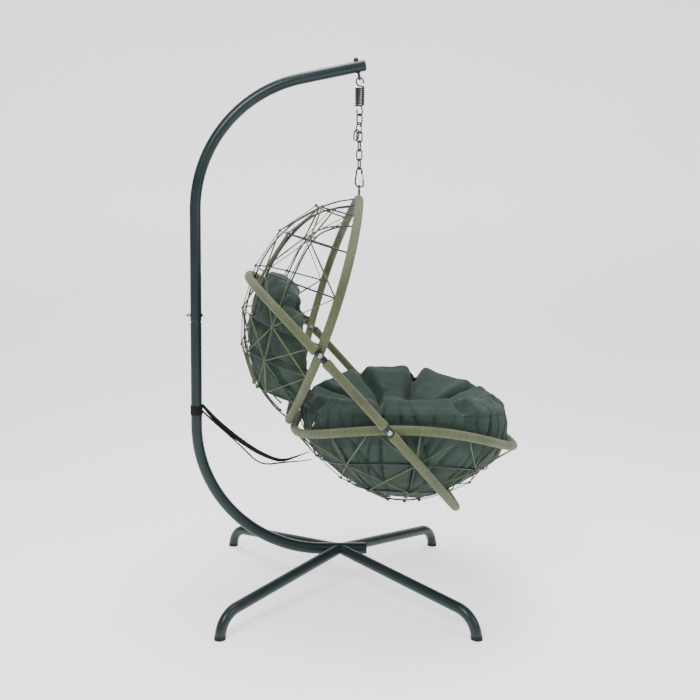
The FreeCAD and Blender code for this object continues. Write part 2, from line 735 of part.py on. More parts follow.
def bracePoint(angle):
    """The brace loop: a long oval, straight at its sides, whose ends dip a little."""
    origin, along, under = braceAxes()
    turn = math.radians(angle)
    squareness = 2 / 2.6
    lengthwise = math.copysign(abs(math.cos(turn)) ** squareness, math.cos(turn))
    crosswise = math.sin(turn) ** squareness
    middle = (size("braceFront") + size("braceRear")) / 2
    half = (size("braceFront") - size("braceRear")) / 2
    dip = size("braceDip") * (1 - crosswise ** 2)
    point = origin + along * (middle + half * lengthwise) + under * dip
    return point - SIDE * size("braceHalfWidth") * crosswise


def halfLoop(pointAt, count):
    """Corners of one side of a loop; the path starts and ends square to Y = 0."""
    corners = [pointAt(180 * (i + 0.5) / count) for i in range(count)]
    first = Vector(corners[0].x, 0, corners[0].z)
    last = Vector(corners[-1].x, 0, corners[-1].z)
    return [first] + corners + [last]


def hoodRingPoint(angle):
    top, along, backward, length = hoodDirection()
    share = (1 - math.cos(math.radians(angle))) / 2
    return top + along * (share * length) - SIDE * hoodWidth(share)


def braceBolts():
    """Where the brace crosses the hood ring and the seat ring, seen from the side."""
    top, along, _, _ = hoodDirection()
    origin, down, _ = braceAxes()
    gap = top - origin
    reach = (gap.z * down.x - gap.x * down.z) / (along.x * down.z - along.z * down.x)
    upper = top + along * reach
    misses = []
    for step in range(600, 1400):
        ring = seatRingPoint(step / 10.0)
        onBrace = origin + down * (ring - origin).dot(down)
        misses.append((math.hypot(ring.x - onBrace.x, ring.z - onBrace.z), ring.x, ring.z))
    lower = min(misses)
    return [Vector(upper.x, 0, upper.z), Vector(lower[1], 0, lower[2])]


def widthBeside(wire, spot):
    """Half-width of a half loop where a line along Y through spot passes it."""
    line = Part.LineSegment(Vector(spot.x, -700, spot.z), Vector(spot.x, -200, spot.z)).toShape()
    nearest = wire.distToShape(line)[1][0][0]
    return -nearest.y


def buildRing(name, points, holes, tubeLabel, wrapLabel, wrapGaps=()):
    """A steel tube loop and the cord wrap around it, each made as one half, mirrored."""
    path = pathObject(name + "Path", roundedPath(points, mirroredEnds=True))
    tube = sweepCircle(name + "Tube", path, "Sizes.tubeRadius")
    bore = sweepCircle(name + "Bore", path, "Sizes.tubeRadius - 1.5")
    hollow = cut(name + "Hollow", tube, bore)
    whole = bothSides(name + "Both", hollow)
    publish(cut(name + "Drilled", whole, *holes), tubeLabel)
    skin = sweepCircle(name + "Skin", path, "Sizes.wrapRadius")
    core = sweepCircle(name + "Core", path, "Sizes.tubeRadius")
    sleeve = cut(name + "Sleeve", skin, core)
    wrap = bothSides(name + "SleeveBoth", sleeve)
    publish(cut(name + "Wrap", wrap, *(list(holes) + list(wrapGaps))), wrapLabel)


def buildRings():
    bolts = braceBolts()
    _, along, _ = braceAxes()
    holes = []
    for number, spot in enumerate(bolts):
        start = Vector(spot.x, -560, spot.z)
        holes.append(
            cylinder(
                f"braceHole{number}", "Sizes.braceBoltRadius + Sizes.boltClearance", 1120, start, SIDE
            )
        )
    hoodCorners = halfLoop(hoodRingPoint, 11)
    seatCorners = halfLoop(seatRingPoint, 12)
    braceCorners = halfLoop(bracePoint, 16)
    joinStart = hoodCorners[-1]
    joinEnd = seatCorners[-1]
    joinAxis = (joinEnd - joinStart).normalize()
    joinHole = cylinder("rearHole", "3.2", 100, joinStart - joinAxis * 30, joinAxis)
    buildRing("hood", hoodCorners, [holes[0], joinHole], "hood_ring_tube", "hood_ring_wrap")
    buildRing("seat", seatCorners, [holes[1], joinHole], "seat_ring_tube", "seat_ring_wrap")

    ringWires = [roundedPath(hoodCorners, mirroredEnds=True), roundedPath(seatCorners, mirroredEnds=True)]
    braceWire = roundedPath(braceCorners, mirroredEnds=True)
    gaps = []
    boltPieces = []
    nutPieces = []
    nutInsets = (24.5, 18.2)
    for number, (spot, ringWire) in enumerate(zip(bolts, ringWires)):
        braceWidth = widthBeside(braceWire, spot)
        ringWidth = widthBeside(ringWire, spot)
        print("bolt", number, "brace", round(braceWidth, 1), "ring", round(ringWidth, 1))
        for side in (-1, 1):
            beside = Vector(spot.x, side * braceWidth, spot.z)
            start = beside - along * (size("braceGap") / 2)
            gaps.append(
                cylinder(f"wrapGap{number}{side + 1}", "Sizes.wrapRadius + 4", size("braceGap"), start, along)
            )
            outside = Vector(spot.x, side * (braceWidth + size("tubeRadius") + 1.5), spot.z)
            inside = Vector(spot.x, side * (ringWidth - nutInsets[number]), spot.z)
            inward = SIDE * -side
            length = (outside - inside).Length + 9
            boltPieces.append(
                bolt(f"braceBolt{number}{side + 1}", "Sizes.braceBoltRadius", outside, inward, length, 8.5, 4)
            )
            nutPieces.append(
                nut(f"braceNut{number}{side + 1}", "Sizes.braceBoltRadius + 0.02", inside, inward, 13, 6.5)
            )
    buildRing("brace", braceCorners, holes, "brace_tube", "brace_wrap", gaps)
    boltGroup = doc.addObject("Part::Compound", "braceBolts")
    boltGroup.Links = boltPieces
    publish(boltGroup, "brace_bolts")
    nutGroup = doc.addObject("Part::Compound", "braceNuts")
    nutGroup.Links = nutPieces
    publish(nutGroup, "brace_nuts")

    span = (joinEnd - joinStart).Length
    wrap = size("wrapRadius")
    rearBolt = bolt(
        "rearBolt", "3", joinStart - joinAxis * (wrap + 0.3), joinAxis, span + 2 * wrap + 8, 7, 4
    )
    publish(rearBolt, "rear_joint_bolt")
    publish(nut("rearNut", "3.02", joinEnd + joinAxis * (wrap + 0.3), joinAxis, 11, 5.5), "rear_joint_nut")


# ---------------------------------------------------------------- wire baskets

HOOD_LEVELS = (0.088, 0.233, 0.404, 0.591, 0.740, 0.883)
HOOD_RIBS = (-0.72, -0.42, 0.0, 0.42, 0.72)
BOWL_LEVELS = (0.78, 0.48, 0.20)
BOWL_RIBS = tuple(range(0, 360, 45))


def wireBar(wirePath, radius):
    edge = wirePath.OrderedEdges[0]
    start = edge.valueAt(edge.FirstParameter)
    circle = Part.Circle(start, edge.tangentAt(edge.FirstParameter), radius)
    return wirePath.makePipeShell([Part.Wire(circle.toShape())], True, False)


def buildHoodBasket():
    wire = size("wireRadius")
    hoops = []
    for share in HOOD_LEVELS:
        edge = ringReach(share, size("tubeRadius") + 0.8)
        arc = Part.Arc(hoodPoint(share, -edge), hoodPoint(share, 0), hoodPoint(share, edge))
        hoops.append(wireBar(Part.Wire(arc.toShape()), wire))
    solidFeature("hoodHoops", Part.makeCompound(hoops), "back_hoops")

    spacing = 2 * wire + 0.25
    top, along, backward, length = hoodDirection()
    ribs = []
    for across in HOOD_RIBS:
        if across == 0:
            first, last = 0.0, 1.0
        elif abs(across) < 0.5:
            first, last = 0.035, 0.955
        else:
            first, last = 0.13, 0.84
        points = []
        count = 13
        for i in range(count):
            swing = (1 - math.cos(math.pi * (i + 0.35) / (count - 0.3))) / 2
            share = first + (last - first) * swing
            reach = min((share - first) / 0.09, (last - share) / 0.09, 1.0)
            flare = (0.93 - abs(across)) * (1 - reach) ** 2 if across else 0
            points.append(hoodInside(share, math.copysign(abs(across) + flare, across), spacing))
        if across:
            for share, index in ((first, 0), (last, len(points))):
                side = math.copysign(ringReach(share, size("tubeRadius") + 0.8), across)
                points.insert(index, hoodPoint(share, side))
        else:
            points.insert(0, top + along * 6 + backward * (size("tubeRadius") + 0.5))
            points.append(top + along * (length - 8) + backward * (size("tubeRadius") + 0.5))
        ribs.append(wireBar(roundedPath(points), wire))
    solidFeature("hoodRibs", Part.makeCompound(ribs), "back_ribs")


def buildBowlBasket():
    wire = size("wireRadius")
    rings = []
    for share in BOWL_LEVELS:
        half = halfLoop(lambda angle: bowlPoint(angle, share), 10)
        bar = wireBar(roundedPath(half, mirroredEnds=True), wire)
        rings.append(bar.fuse(bar.mirror(Vector(), SIDE)).removeSplitter())
    solidFeature("bowlRings", Part.makeCompound(rings), "seat_hoops")
    spacing = 2 * wire + 0.25
    ribs = []
    for angle in BOWL_RIBS:
        rimShare = bowlReach(angle, size("tubeRadius") + 0.8)
        points = []
        for i in range(9):
            share = rimShare + (0.17 - rimShare) * i / 8
            points.append(bowlInside(angle, share, spacing * min(1, 0.35 + i)))
        ribs.append(wireBar(roundedPath(points), wire))
    solidFeature("bowlRibs", Part.makeCompound(ribs), "seat_ribs")


def ropes(name, label, pairs, knots):
    """Straight taut cords between knots, and a small bound knot at each crossing."""
    radius = size("ropeRadius")
    knotRadius = 5.2
    pieces = []
    for start, end in pairs:
        along = end - start
        if along.Length < 24:
            continue
        unit = Vector(along).normalize()
        inset = knotRadius + 0.2
        pieces.append(
            Part.makeCylinder(radius, along.Length - 2 * inset, start + unit * inset, unit)
        )
    for knot in knots:
        pieces.append(Part.makeSphere(knotRadius, knot))
    solidFeature(name, Part.makeCompound(pieces), label)


def buildHoodLashing():
    outside = -(size("wireRadius") + size("ropeRadius") + 0.2)
    columns = (-0.95,) + HOOD_RIBS + (0.95,)
    knots = {}
    for row, share in enumerate(HOOD_LEVELS):
        for column, across in enumerate(columns):
            if abs(across) > 0.9:
                reach = ringReach(share, size("wrapRadius") - 4.9)
                knots[row, column] = hoodInside(share, math.copysign(reach, across), outside)
            else:
                knots[row, column] = hoodInside(share, across, outside)
    pairs = []
    lastColumn = len(columns) - 1
    for row in range(len(HOOD_LEVELS) - 1):
        for column in range(lastColumn + 1):
            inner = 0 < column < lastColumn
            if inner:
                pairs.append((knots[row, column], knots[row + 1, column]))
            leansOut = (row + column) % 2 == 0
            if column < lastColumn and leansOut:
                pairs.append((knots[row, column], knots[row + 1, column + 1]))
            if column > 0 and leansOut:
                pairs.append((knots[row, column], knots[row + 1, column - 1]))
    bound = [knots[key] for key in knots if 0 < key[1] < lastColumn]
    ropes("hoodLashing", "back_lashing", pairs, bound)


def buildBowlLashing():
    outside = -(size("wireRadius") + size("ropeRadius") + 0.2)
    pairs = []
    bound = []
    step = 45
    for angle in BOWL_RIBS:
        rim = bowlReach(angle, size("wrapRadius") - 4.9)
        mid = [bowlInside(angle, share, outside) for share in BOWL_LEVELS]
        bound.extend(mid)
        pairs.append((bowlInside(angle, rim, outside), mid[0]))
        for side in (-1, 1):
            pairs.append((bowlInside(angle + side * step * 0.45, rim, outside), mid[0]))
            crossing = bowlInside(angle + side * step / 2, 0.62, outside)
            pairs.append((mid[0], crossing))
            pairs.append((crossing, mid[1]))
            if side > 0:
                bound.append(crossing)
        pairs.append((mid[1], mid[2]))
    ropes("bowlLashing", "seat_lashing", pairs, bound)


# ---------------------------------------------------------------- soft parts


def loftRings(rings):
    """A closed solid through smooth closed outlines, straight from one to the next."""
    wires = []
    for ring in rings:
        curve = Part.BSplineCurve()
        curve.interpolate(Points=ring, PeriodicFlag=True)
        wires.append(Part.Wire(curve.toShape()))
    return Part.makeLoft(wires, True, True)


def buildSeatCushion():
    """A deep round bowl cushion: it follows the basket, bulges over the ring and
    has a dished middle."""
    gap = size("cushionGap")
    angles = [20 * i for i in range(18)]
    rings = []
    for share in (0.30, 0.55, 0.78, 0.90):
        rings.append([bowlInside(a, share, gap) for a in angles])
    outlines = ((0.915, 26), (0.95, 78), (0.86, 112), (0.66, 104), (0.44, 62), (0.22, 44))
    for share, lift in outlines:
        ring = []
        for a in angles:
            rim = seatRingPoint(a)
            level = size("seatRingZ") + (rim.z - size("seatRingZ")) * min(1, share + 0.05)
            x = size("seatX") + (rim.x - size("seatX")) * share
            ring.append(Vector(x, rim.y * share, level + lift - 8))
        rings.append(ring)
    level = [sum(p.z for p in ring) / len(ring) for ring in (rings[0], rings[-1])]
    rings[0] = [Vector(p.x, p.y, level[0]) for p in rings[0]]
    rings[-1] = [Vector(p.x, p.y, level[1]) for p in rings[-1]]
    solidFeature("seatCushion", loftRings(rings), "seat_cushion")


def buildBackCushion():
    """A pad bent round the lower half of the back basket, a little off its wires. Each
    section lies in one level of the basket: share, half-width, gap behind, thickness."""
    top, along, backward, length = hoodDirection()
    sections = (
        (0.345, 120, 30, 26), (0.365, 190, 30, 74), (0.42, 250, 34, 108), (0.52, 285, 38, 124),
        (0.63, 285, 38, 126), (0.73, 250, 36, 118), (0.81, 190, 34, 96), (0.86, 135, 34, 62),
        (0.88, 95, 34, 24),
    )
    rings = []
    for share, half, back, thick in sections:
        width = hoodWidth(share)
        depth = hoodDepth(share)
        radius = (width * width + depth * depth) / (2 * depth)
        centre = top + along * (share * length) + backward * (depth - radius)
        ring = []
        for i in range(16):
            turn = 2 * math.pi * i / 16
            swing = half / radius * math.copysign(abs(math.cos(turn)) ** 0.8, math.cos(turn))
            reach = radius - back - thick * (0.5 + 0.5 * math.sin(turn))
            ring.append(centre + backward * (reach * math.cos(swing)) + SIDE * (reach * math.sin(swing)))
        rings.append(ring)
    solidFeature("backCushion", loftRings(rings), "back_cushion")


def buildZipPull():
    spot = seatRingPoint(149)
    pull = doc.addObject("Part::Box", "zipPull")
    pull.Length = 4
    pull.Width = 1.4
    pull.Height = 17
    lean = Rotation(UP, -32).multiply(Rotation(SIDE, 28))
    pull.Placement = Placement(spot + Vector(4, 30, 24), lean)
    publish(pull, "zip_pull")


# ---------------------------------------------------------------- tether strap

UPPER_STRAND = [(-556, 701), (-519, 655), (-451, 592), (-377, 538), (-321, 506),
                (-260, 484), (-200, 502), (-152, 522)]
LOWER_STRAND = [(-556, 676), (-506, 628), (-446, 575), (-391, 522), (-361, 490),
                (-321, 470), (-260, 478), (-226, 481), (-184, 484), (-143, 490)]
UPPER_SPLITS = (-468, -368, -256)
LOWER_SPLITS = (-461, -369, -253)


def strandBand(route, y):
    """A flat band on edge along a route in the plane Y = y."""
    points = [Vector(x, y, z) for x, z in route]
    path = roundedPath(points)
    start = points[0]
    along = (points[1] - points[0]).normalize()
    across = along.cross(SIDE).normalize()
    half = size("webWidth") / 2
    thin = size("webThick") / 2
    corners = []
    for side, face in ((-1, -1), (1, -1), (1, 1), (-1, 1), (-1, -1)):
        corners.append(start + across * (side * half) + SIDE * (face * thin))
    band = path.makePipeShell([Part.makePolygon(corners)], True, False)
    radii = [edge.Curve.Radius for edge in path.Edges if hasattr(edge.Curve, "Radius")]
    section = size("webWidth") * size("webThick")
    print("strand length", round(path.Length, 1), "smallest bend", round(min(radii), 1),
          "volume ratio", round(band.Volume / (section * path.Length), 4))
    return band


def slices(band, splits):
    """Cuts the band at the given X places, with a hair's gap between the pieces."""
    limits = [-700] + list(splits) + [100]
    pieces = []
    for low, high in zip(limits[:-1], limits[1:]):
        room = Part.makeBox(high - low - 0.4, 200, 900, Vector(low + 0.2, -100, 100))
        pieces.append(band.common(room))
    return pieces


def buildStrap():
    outer = "Sizes.poleDiameter / 2 + Sizes.collarWall"
    base = Vector(size("poleX"), 0, size("collarZ") - size("collarHeight") / 2)
    loop = cylinder("collarLoop", outer, size("collarHeight"), base, UP)
    hole = cylinder("collarHole", "Sizes.poleDiameter / 2", size("collarHeight") + 2, base - UP, UP)
    publish(cut("collar", loop, hole), "strap_collar")
    room = Part.makeCylinder(
        size("poleDiameter") / 2 + size("collarWall") + 0.05, 200,
        Vector(size("poleX"), 0, size("collarZ") - 100),
    )
    upper = slices(strandBand(UPPER_STRAND, -1.6).cut(room), UPPER_SPLITS)
    lower = slices(strandBand(LOWER_STRAND, 1.6).cut(room), LOWER_SPLITS)
    for number, (first, second) in enumerate(zip(upper, lower), start=1):
        solidFeature(f"strap{number}", Part.makeCompound([first, second]), f"tether_strap_{number}")


# ---------------------------------------------------------------- build and write


def check():
    """Every object up to date, every sub-part a valid closed solid."""
    for item in doc.Objects:
        if "Invalid" in item.State or "Error" in item.State:
            raise RuntimeError(f"{item.Name} failed: {item.State}")
    for item in subParts:
        shape = item.Shape
        if shape.isNull() or not shape.isValid() or not shape.Solids:
            raise RuntimeError(f"{item.Label} has no valid solid")


buildPole()
buildLegs()
buildEyeBolt()
springBottomZ = buildSpring()
carabinerFootZ = buildChain(springBottomZ)
buildRings()
buildHangingEye(carabinerFootZ)
buildHoodBasket()
buildBowlBasket()
buildHoodLashing()
buildBowlLashing()
buildSeatCushion()
buildBackCushion()
buildZipPull()
buildStrap()
doc.recompute()
check()

os.makedirs("parts", exist_ok=True)
for item in subParts:
    item.Shape.exportStep(f"parts/{item.Label}.step")
print(len(subParts), "sub-parts written")
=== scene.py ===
import json
import math
import random

import bpy
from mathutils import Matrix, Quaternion, Vector, noise


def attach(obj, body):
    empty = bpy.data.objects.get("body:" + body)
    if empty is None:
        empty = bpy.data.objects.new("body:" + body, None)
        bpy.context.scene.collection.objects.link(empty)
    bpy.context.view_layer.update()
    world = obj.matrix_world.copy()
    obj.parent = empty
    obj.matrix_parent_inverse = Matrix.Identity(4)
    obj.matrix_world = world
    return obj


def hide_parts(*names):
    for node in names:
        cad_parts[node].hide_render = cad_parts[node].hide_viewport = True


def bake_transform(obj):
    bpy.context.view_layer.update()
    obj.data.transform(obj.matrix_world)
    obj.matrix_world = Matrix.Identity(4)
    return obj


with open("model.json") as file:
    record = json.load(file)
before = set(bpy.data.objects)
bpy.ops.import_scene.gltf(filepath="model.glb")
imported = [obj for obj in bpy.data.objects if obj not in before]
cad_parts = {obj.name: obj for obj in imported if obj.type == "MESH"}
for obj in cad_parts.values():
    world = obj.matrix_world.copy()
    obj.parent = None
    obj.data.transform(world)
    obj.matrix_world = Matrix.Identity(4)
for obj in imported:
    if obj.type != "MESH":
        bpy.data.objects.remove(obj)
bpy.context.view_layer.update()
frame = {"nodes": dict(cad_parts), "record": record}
nodes = frame["nodes"]
print("frame loaded:", len(nodes), "pieces")

# side view
cameraSet = {"x": -0.2636, "back": 3.2249, "height": 1.3686, "pitch": 4.013,
             "lens": 44.72, "shiftX": 0.1, "shiftY": -0.09}
cameraData = bpy.data.cameras.new("sideCamera")
cameraData.lens = cameraSet["lens"]
cameraData.sensor_width = 36
cameraData.shift_x = cameraSet["shiftX"]
cameraData.shift_y = cameraSet["shiftY"]
camera = bpy.data.objects.new("sideCamera", cameraData)
camera.location = (cameraSet["x"], -cameraSet["back"], cameraSet["height"])
camera.rotation_euler = (math.radians(90 - cameraSet["pitch"]), 0, 0)
bpy.context.collection.objects.link(camera)
bpy.context.scene.camera = camera


# ---- small helpers for meshes

def addMesh(name, verts, faces, uvs=None, smooth=True):
    mesh = bpy.data.meshes.new(name)
    mesh.from_pydata([tuple(v) for v in verts], [], faces)
    if uvs:
        layer = mesh.uv_layers.new(name="UVMap")
        for poly in mesh.polygons:
            for loop, uv in zip(poly.loop_indices, uvs[poly.index]):
                layer.data[loop].uv = uv
    mesh.update()
    mesh.shade_smooth() if smooth else mesh.shade_flat()
    obj = bpy.data.objects.new(name, mesh)
    bpy.context.collection.objects.link(obj)
    return obj


def frameAlong(points, closed):
    # a turn-free pair of side directions at each point of a line
    count = len(points)
    tangents = []
    for i in range(count):
        if closed:
            ahead, behind = points[(i + 1) % count], points[i - 1]
        else:
            ahead, behind = points[min(i + 1, count - 1)], points[max(i - 1, 0)]
        tangents.append((ahead - behind).normalized())
    side = tangents[0].cross(Vector((0, 1, 0)))
    if side.length < 0.1:
        side = tangents[0].cross(Vector((0, 0, 1)))
    side.normalize()
    frames = []
    for i in range(count):
        if i:
            side = tangents[i - 1].rotation_difference(tangents[i]) @ side
        side = (side - tangents[i] * side.dot(tangents[i])).normalized()
        frames.append((side.copy(), tangents[i].cross(side)))
    return frames


def tubeInto(verts, faces, uvs, points, radius, sides, closed=False):
    # adds a tube to the lists; uv is length along and distance round, in metres
    frames = frameAlong(points, closed)
    base = len(verts)
    count = len(points)
    run = [0.0]
    for i in range(1, count + (1 if closed else 0)):
        run.append(run[-1] + (points[i % count] - points[i - 1]).length)
    for i, (point, (a, b)) in enumerate(zip(points, frames)):
        r = radius[i] if isinstance(radius, list) else radius
        for j in range(sides):
            turn = 2 * math.pi * j / sides
            verts.append(point + (a * math.cos(turn) + b * math.sin(turn)) * r)
    around = 2 * math.pi * (max(radius) if isinstance(radius, list) else radius)
    rings = count if closed else count - 1
    for i in range(rings):
        k = (i + 1) % count
        for j in range(sides):
            m = (j + 1) % sides
            here, there = base + i * sides, base + k * sides
            faces.append((here + j, here + m, there + m, there + j))
            v0, v1 = around * j / sides, around * (j + 1) / sides
            uvs.append(((run[i], v0), (run[i], v1), (run[i + 1], v1), (run[i + 1], v0)))
    if not closed:
        faces.append(tuple(base + j for j in reversed(range(sides))))
        uvs.append([(0, 0)] * sides)
        faces.append(tuple(base + (count - 1) * sides + j for j in range(sides)))
        uvs.append([(0, 0)] * sides)


def smoothLoop(corners, per=7):
    # a closed smooth line that touches the middle of every run between corners
    line = []
    count = len(corners)
    for i in range(count):
        a, b, c = corners[i - 1], corners[i], corners[(i + 1) % count]
        for j in range(per):
            t = j / per
            line.append((a + b) * 0.5 * (1 - t) ** 2 + b * 2 * t * (1 - t) + (b + c) * 0.5 * t * t)
    return line


# ---- the chair's shape, as the CAD has it, in metres

hood = {"top": Vector((0.0272, 0, 1.472)), "foot": Vector((-0.2308, 0, 0.640)),
        "halfWidth": 0.480, "depth": 0.290, "tipWidth": 0.030}
seat = {"x": 0.194, "halfLength": 0.4067, "halfWidth": 0.440, "height": 0.6469,
        "tilt": -0.0244, "saddle": -0.0582, "floor": 0.349}
brace = {"start": Vector((-0.1308, 0, 0.948)), "angle": 47.9, "halfWidth": 0.461,
         "rear": -0.345, "front": 0.782, "dip": 0.025}
hoodLine = hood["foot"] - hood["top"]
hoodLength = hoodLine.length
hoodDown = hoodLine.normalized()
hoodBack = Vector((hoodDown.z, 0, -hoodDown.x))


def hoodWidth(share):
    share = min(max(share, 0.0), 1.0)
    swell = math.sin(math.pi * share ** 0.8) ** 0.9 if 0 < share < 1 else 0
    return math.hypot(hood["halfWidth"] * swell, hood["tipWidth"])


def hoodDepth(share):
    share = min(max(share, 0.002), 0.998)
    return hood["depth"] * (1 - abs(2 * share - 1) ** 2.3) ** 0.72


def hoodPoint(share, across):
    width, depth = hoodWidth(share), hoodDepth(share)
    radius = (width * width + depth * depth) / (2 * depth)
    side = width * across
    back = math.sqrt(max(radius * radius - side * side, 0)) - (radius - depth)
    return hood["top"] + hoodDown * (share * hoodLength) + hoodBack * back + Vector((0, side, 0))


def hoodInside(share, across, offset):
    step = 0.004
    along = hoodPoint(share + step, across) - hoodPoint(share - step, across)
    over = hoodPoint(share, across + step) - hoodPoint(share, across - step)
    normal = along.cross(over).normalized()
    point = hoodPoint(share, across)
    if normal.dot(hood["top"] + hoodDown * (hoodLength / 2) - point) < 0:
        normal = -normal
    return point + normal * offset


def ringReach(share, inset):
    width, depth = hoodWidth(share), hoodDepth(share)
    radius = (width * width + depth * depth) / (2 * depth)
    edge = math.asin(min(width / radius, 1))
    return math.sin(edge - inset / radius) / math.sin(edge)


def seatRing(angle):
    turn = math.radians(angle)
    height = seat["height"] + seat["tilt"] * math.cos(turn) + seat["saddle"] * math.cos(2 * turn)
    x = seat["x"] + seat["halfLength"] * math.cos(turn)
    return Vector((x, -seat["halfWidth"] * math.sin(turn), height))


def bowlPoint(angle, share):
    rim = seatRing(angle)
    x = seat["x"] + (rim.x - seat["x"]) * share
    return Vector((x, rim.y * share, seat["floor"] + (rim.z - seat["floor"]) * share * share))


def bowlInside(angle, share, offset):
    step = 0.01
    along = bowlPoint(angle + step, share) - bowlPoint(angle - step, share)
    over = bowlPoint(angle, share + step) - bowlPoint(angle, share - step)
    normal = along.cross(over).normalized()
    if normal.z < 0:
        normal = -normal
    return bowlPoint(angle, share) + normal * offset


def bowlReach(angle, inset):
    rim = seatRing(angle)
    slope = math.hypot(math.hypot(rim.x - seat["x"], rim.y), 2 * (rim.z - seat["floor"]))
    return 1 - inset / slope


def hoodRing(angle):
    share = (1 - math.cos(math.radians(angle))) / 2
    return hood["top"] + hoodDown * (share * hoodLength) - Vector((0, hoodWidth(share), 0))


def braceRing(angle):
    tilt = math.radians(brace["angle"])
    along = Vector((math.cos(tilt), 0, -math.sin(tilt)))
    under = Vector((-math.sin(tilt), 0, -math.cos(tilt)))
    turn = math.radians(angle)
    power = 2 / 2.6
    lengthwise = math.copysign(abs(math.cos(turn)) ** power, math.cos(turn))
    crosswise = abs(math.sin(turn)) ** power
    middle = (brace["front"] + brace["rear"]) / 2
    half = (brace["front"] - brace["rear"]) / 2
    sunk = under * (brace["dip"] * (1 - crosswise ** 2))
    point = brace["start"] + along * (middle + half * lengthwise) + sunk
    return point - Vector((0, brace["halfWidth"] * crosswise, 0))


def wholeLoop(pointAt, count):
    nearSide = [pointAt(180 * (i + 0.5) / count) for i in range(count)]
    farSide = [Vector((p.x, -p.y, p.z)) for p in reversed(nearSide)]
    return nearSide + farSide


# ---- shader groups used by several materials

def newGroup(name, inputs, outputs):
    group = bpy.data.node_groups.new(name, "ShaderNodeTree")
    for label, kind, value in inputs:
        socket = group.interface.new_socket(name=label, in_out="INPUT", socket_type=kind)
        if value is not None:
            socket.default_value = value
    for label, kind in outputs:
        group.interface.new_socket(name=label, in_out="OUTPUT", socket_type=kind)
    return group, group.nodes.new("NodeGroupInput"), group.nodes.new("NodeGroupOutput")


def addNode(tree, kind, **settings):
    node = tree.nodes.new(kind)
    for key, value in settings.items():
        if key in node.inputs:
            node.inputs[key].default_value = value
        else:
            setattr(node, key, value)
    return node


def mathNode(tree, operation, first, second=None, clamp=False):
    node = tree.nodes.new("ShaderNodeMath")
    node.operation = operation
    node.use_clamp = clamp
    for index, value in enumerate((first, second)):
        if value is None:
            continue
        if isinstance(value, (int, float)):
            node.inputs[index].default_value = value
        else:
            tree.links.new(value, node.inputs[index])
    return node.outputs[0]


def buildSurfaceVariation():
    # broad cloudy change and a fine grain, in object space
    group, gin, gout = newGroup(
        "surfaceVariation",
        [("Cloud Scale", "NodeSocketFloat", 4.0), ("Grain Scale", "NodeSocketFloat", 600.0)],
        [("Cloud", "NodeSocketFloat"), ("Grain", "NodeSocketFloat")],
    )
    coords = addNode(group, "ShaderNodeTexCoord")
    for scaleName, outName, detail in (("Cloud Scale", "Cloud", 3.0), ("Grain Scale", "Grain", 2.0)):
        tex = addNode(group, "ShaderNodeTexNoise", Detail=detail, Roughness=0.55)
        group.links.new(coords.outputs["Object"], tex.inputs["Vector"])
        group.links.new(gin.outputs[scaleName], tex.inputs["Scale"])
        group.links.new(tex.outputs["Fac"], gout.inputs[outName])
    return group


def buildCordTexture():
    # a wound cord: rows along U, little dashes along V, both in metres
    group, gin, gout = newGroup(
        "woundCord",
        [("Row Pitch", "NodeSocketFloat", 0.0022), ("Dash Length", "NodeSocketFloat", 0.0034),
         ("Turn Pitch", "NodeSocketFloat", 0.011)],
        [("Dash", "NodeSocketFloat"), ("Height", "NodeSocketFloat"), ("Turn", "NodeSocketFloat")],
    )
    uv = addNode(group, "ShaderNodeUVMap")
    split = addNode(group, "ShaderNodeSeparateXYZ")
    group.links.new(uv.outputs["UV"], split.inputs[0])
    row = mathNode(group, "DIVIDE", split.outputs[0], gin.outputs["Row Pitch"])
    rowIndex = mathNode(group, "FLOOR", row)
    rowPart = mathNode(group, "FRACT", row)
    rowBump = mathNode(group, "SINE", mathNode(group, "MULTIPLY", rowPart, math.pi))
    shift = mathNode(group, "MULTIPLY", rowIndex, 0.5)
    dashRun = mathNode(group, "DIVIDE", split.outputs[1], gin.outputs["Dash Length"])
    dash = mathNode(group, "ADD", dashRun, shift)
    dashPart = mathNode(group, "FRACT", dash)
    dashBump = mathNode(group, "SINE", mathNode(group, "MULTIPLY", dashPart, math.pi))
    height = mathNode(group, "MULTIPLY", rowBump, mathNode(group, "POWER", dashBump, 0.5))
    turn = mathNode(group, "FRACT", mathNode(group, "DIVIDE", split.outputs[0], gin.outputs["Turn Pitch"]))
    turnWave = mathNode(group, "SINE", mathNode(group, "MULTIPLY", turn, math.pi))
    turnBump = mathNode(group, "POWER", turnWave, 0.35)
    fine = mathNode(group, "MULTIPLY", height, 0.5)
    total = mathNode(group, "ADD", fine, mathNode(group, "MULTIPLY", turnBump, 0.8))
    # Dash is the raised shape of each dash; used as colour, it paints shade into the grooves between dashes and
    # rows
    group.links.new(height, gout.inputs["Dash"])
    group.links.new(total, gout.inputs["Height"])
    group.links.new(turnBump, gout.inputs["Turn"])
    return group


surfaceVariation = buildSurfaceVariation()
woundCord = buildCordTexture()


def placeGroup(tree, group, **values):
    node = tree.nodes.new("ShaderNodeGroup")
    node.node_tree = group
    for key, value in values.items():
        node.inputs[key].default_value = value
    return node


def newMaterial(name, roughness=0.5, metallic=0.0, **sockets):
    mat = bpy.data.materials.new(name)
    mat.use_nodes = True
    bsdf = mat.node_tree.nodes["Principled BSDF"]
    bsdf.inputs["Roughness"].default_value = roughness
    bsdf.inputs["Metallic"].default_value = metallic
    bsdf.inputs["Specular IOR Level"].default_value = 0.3
    for key, value in sockets.items():
        bsdf.inputs[key].default_value = value
    return mat, mat.node_tree, bsdf


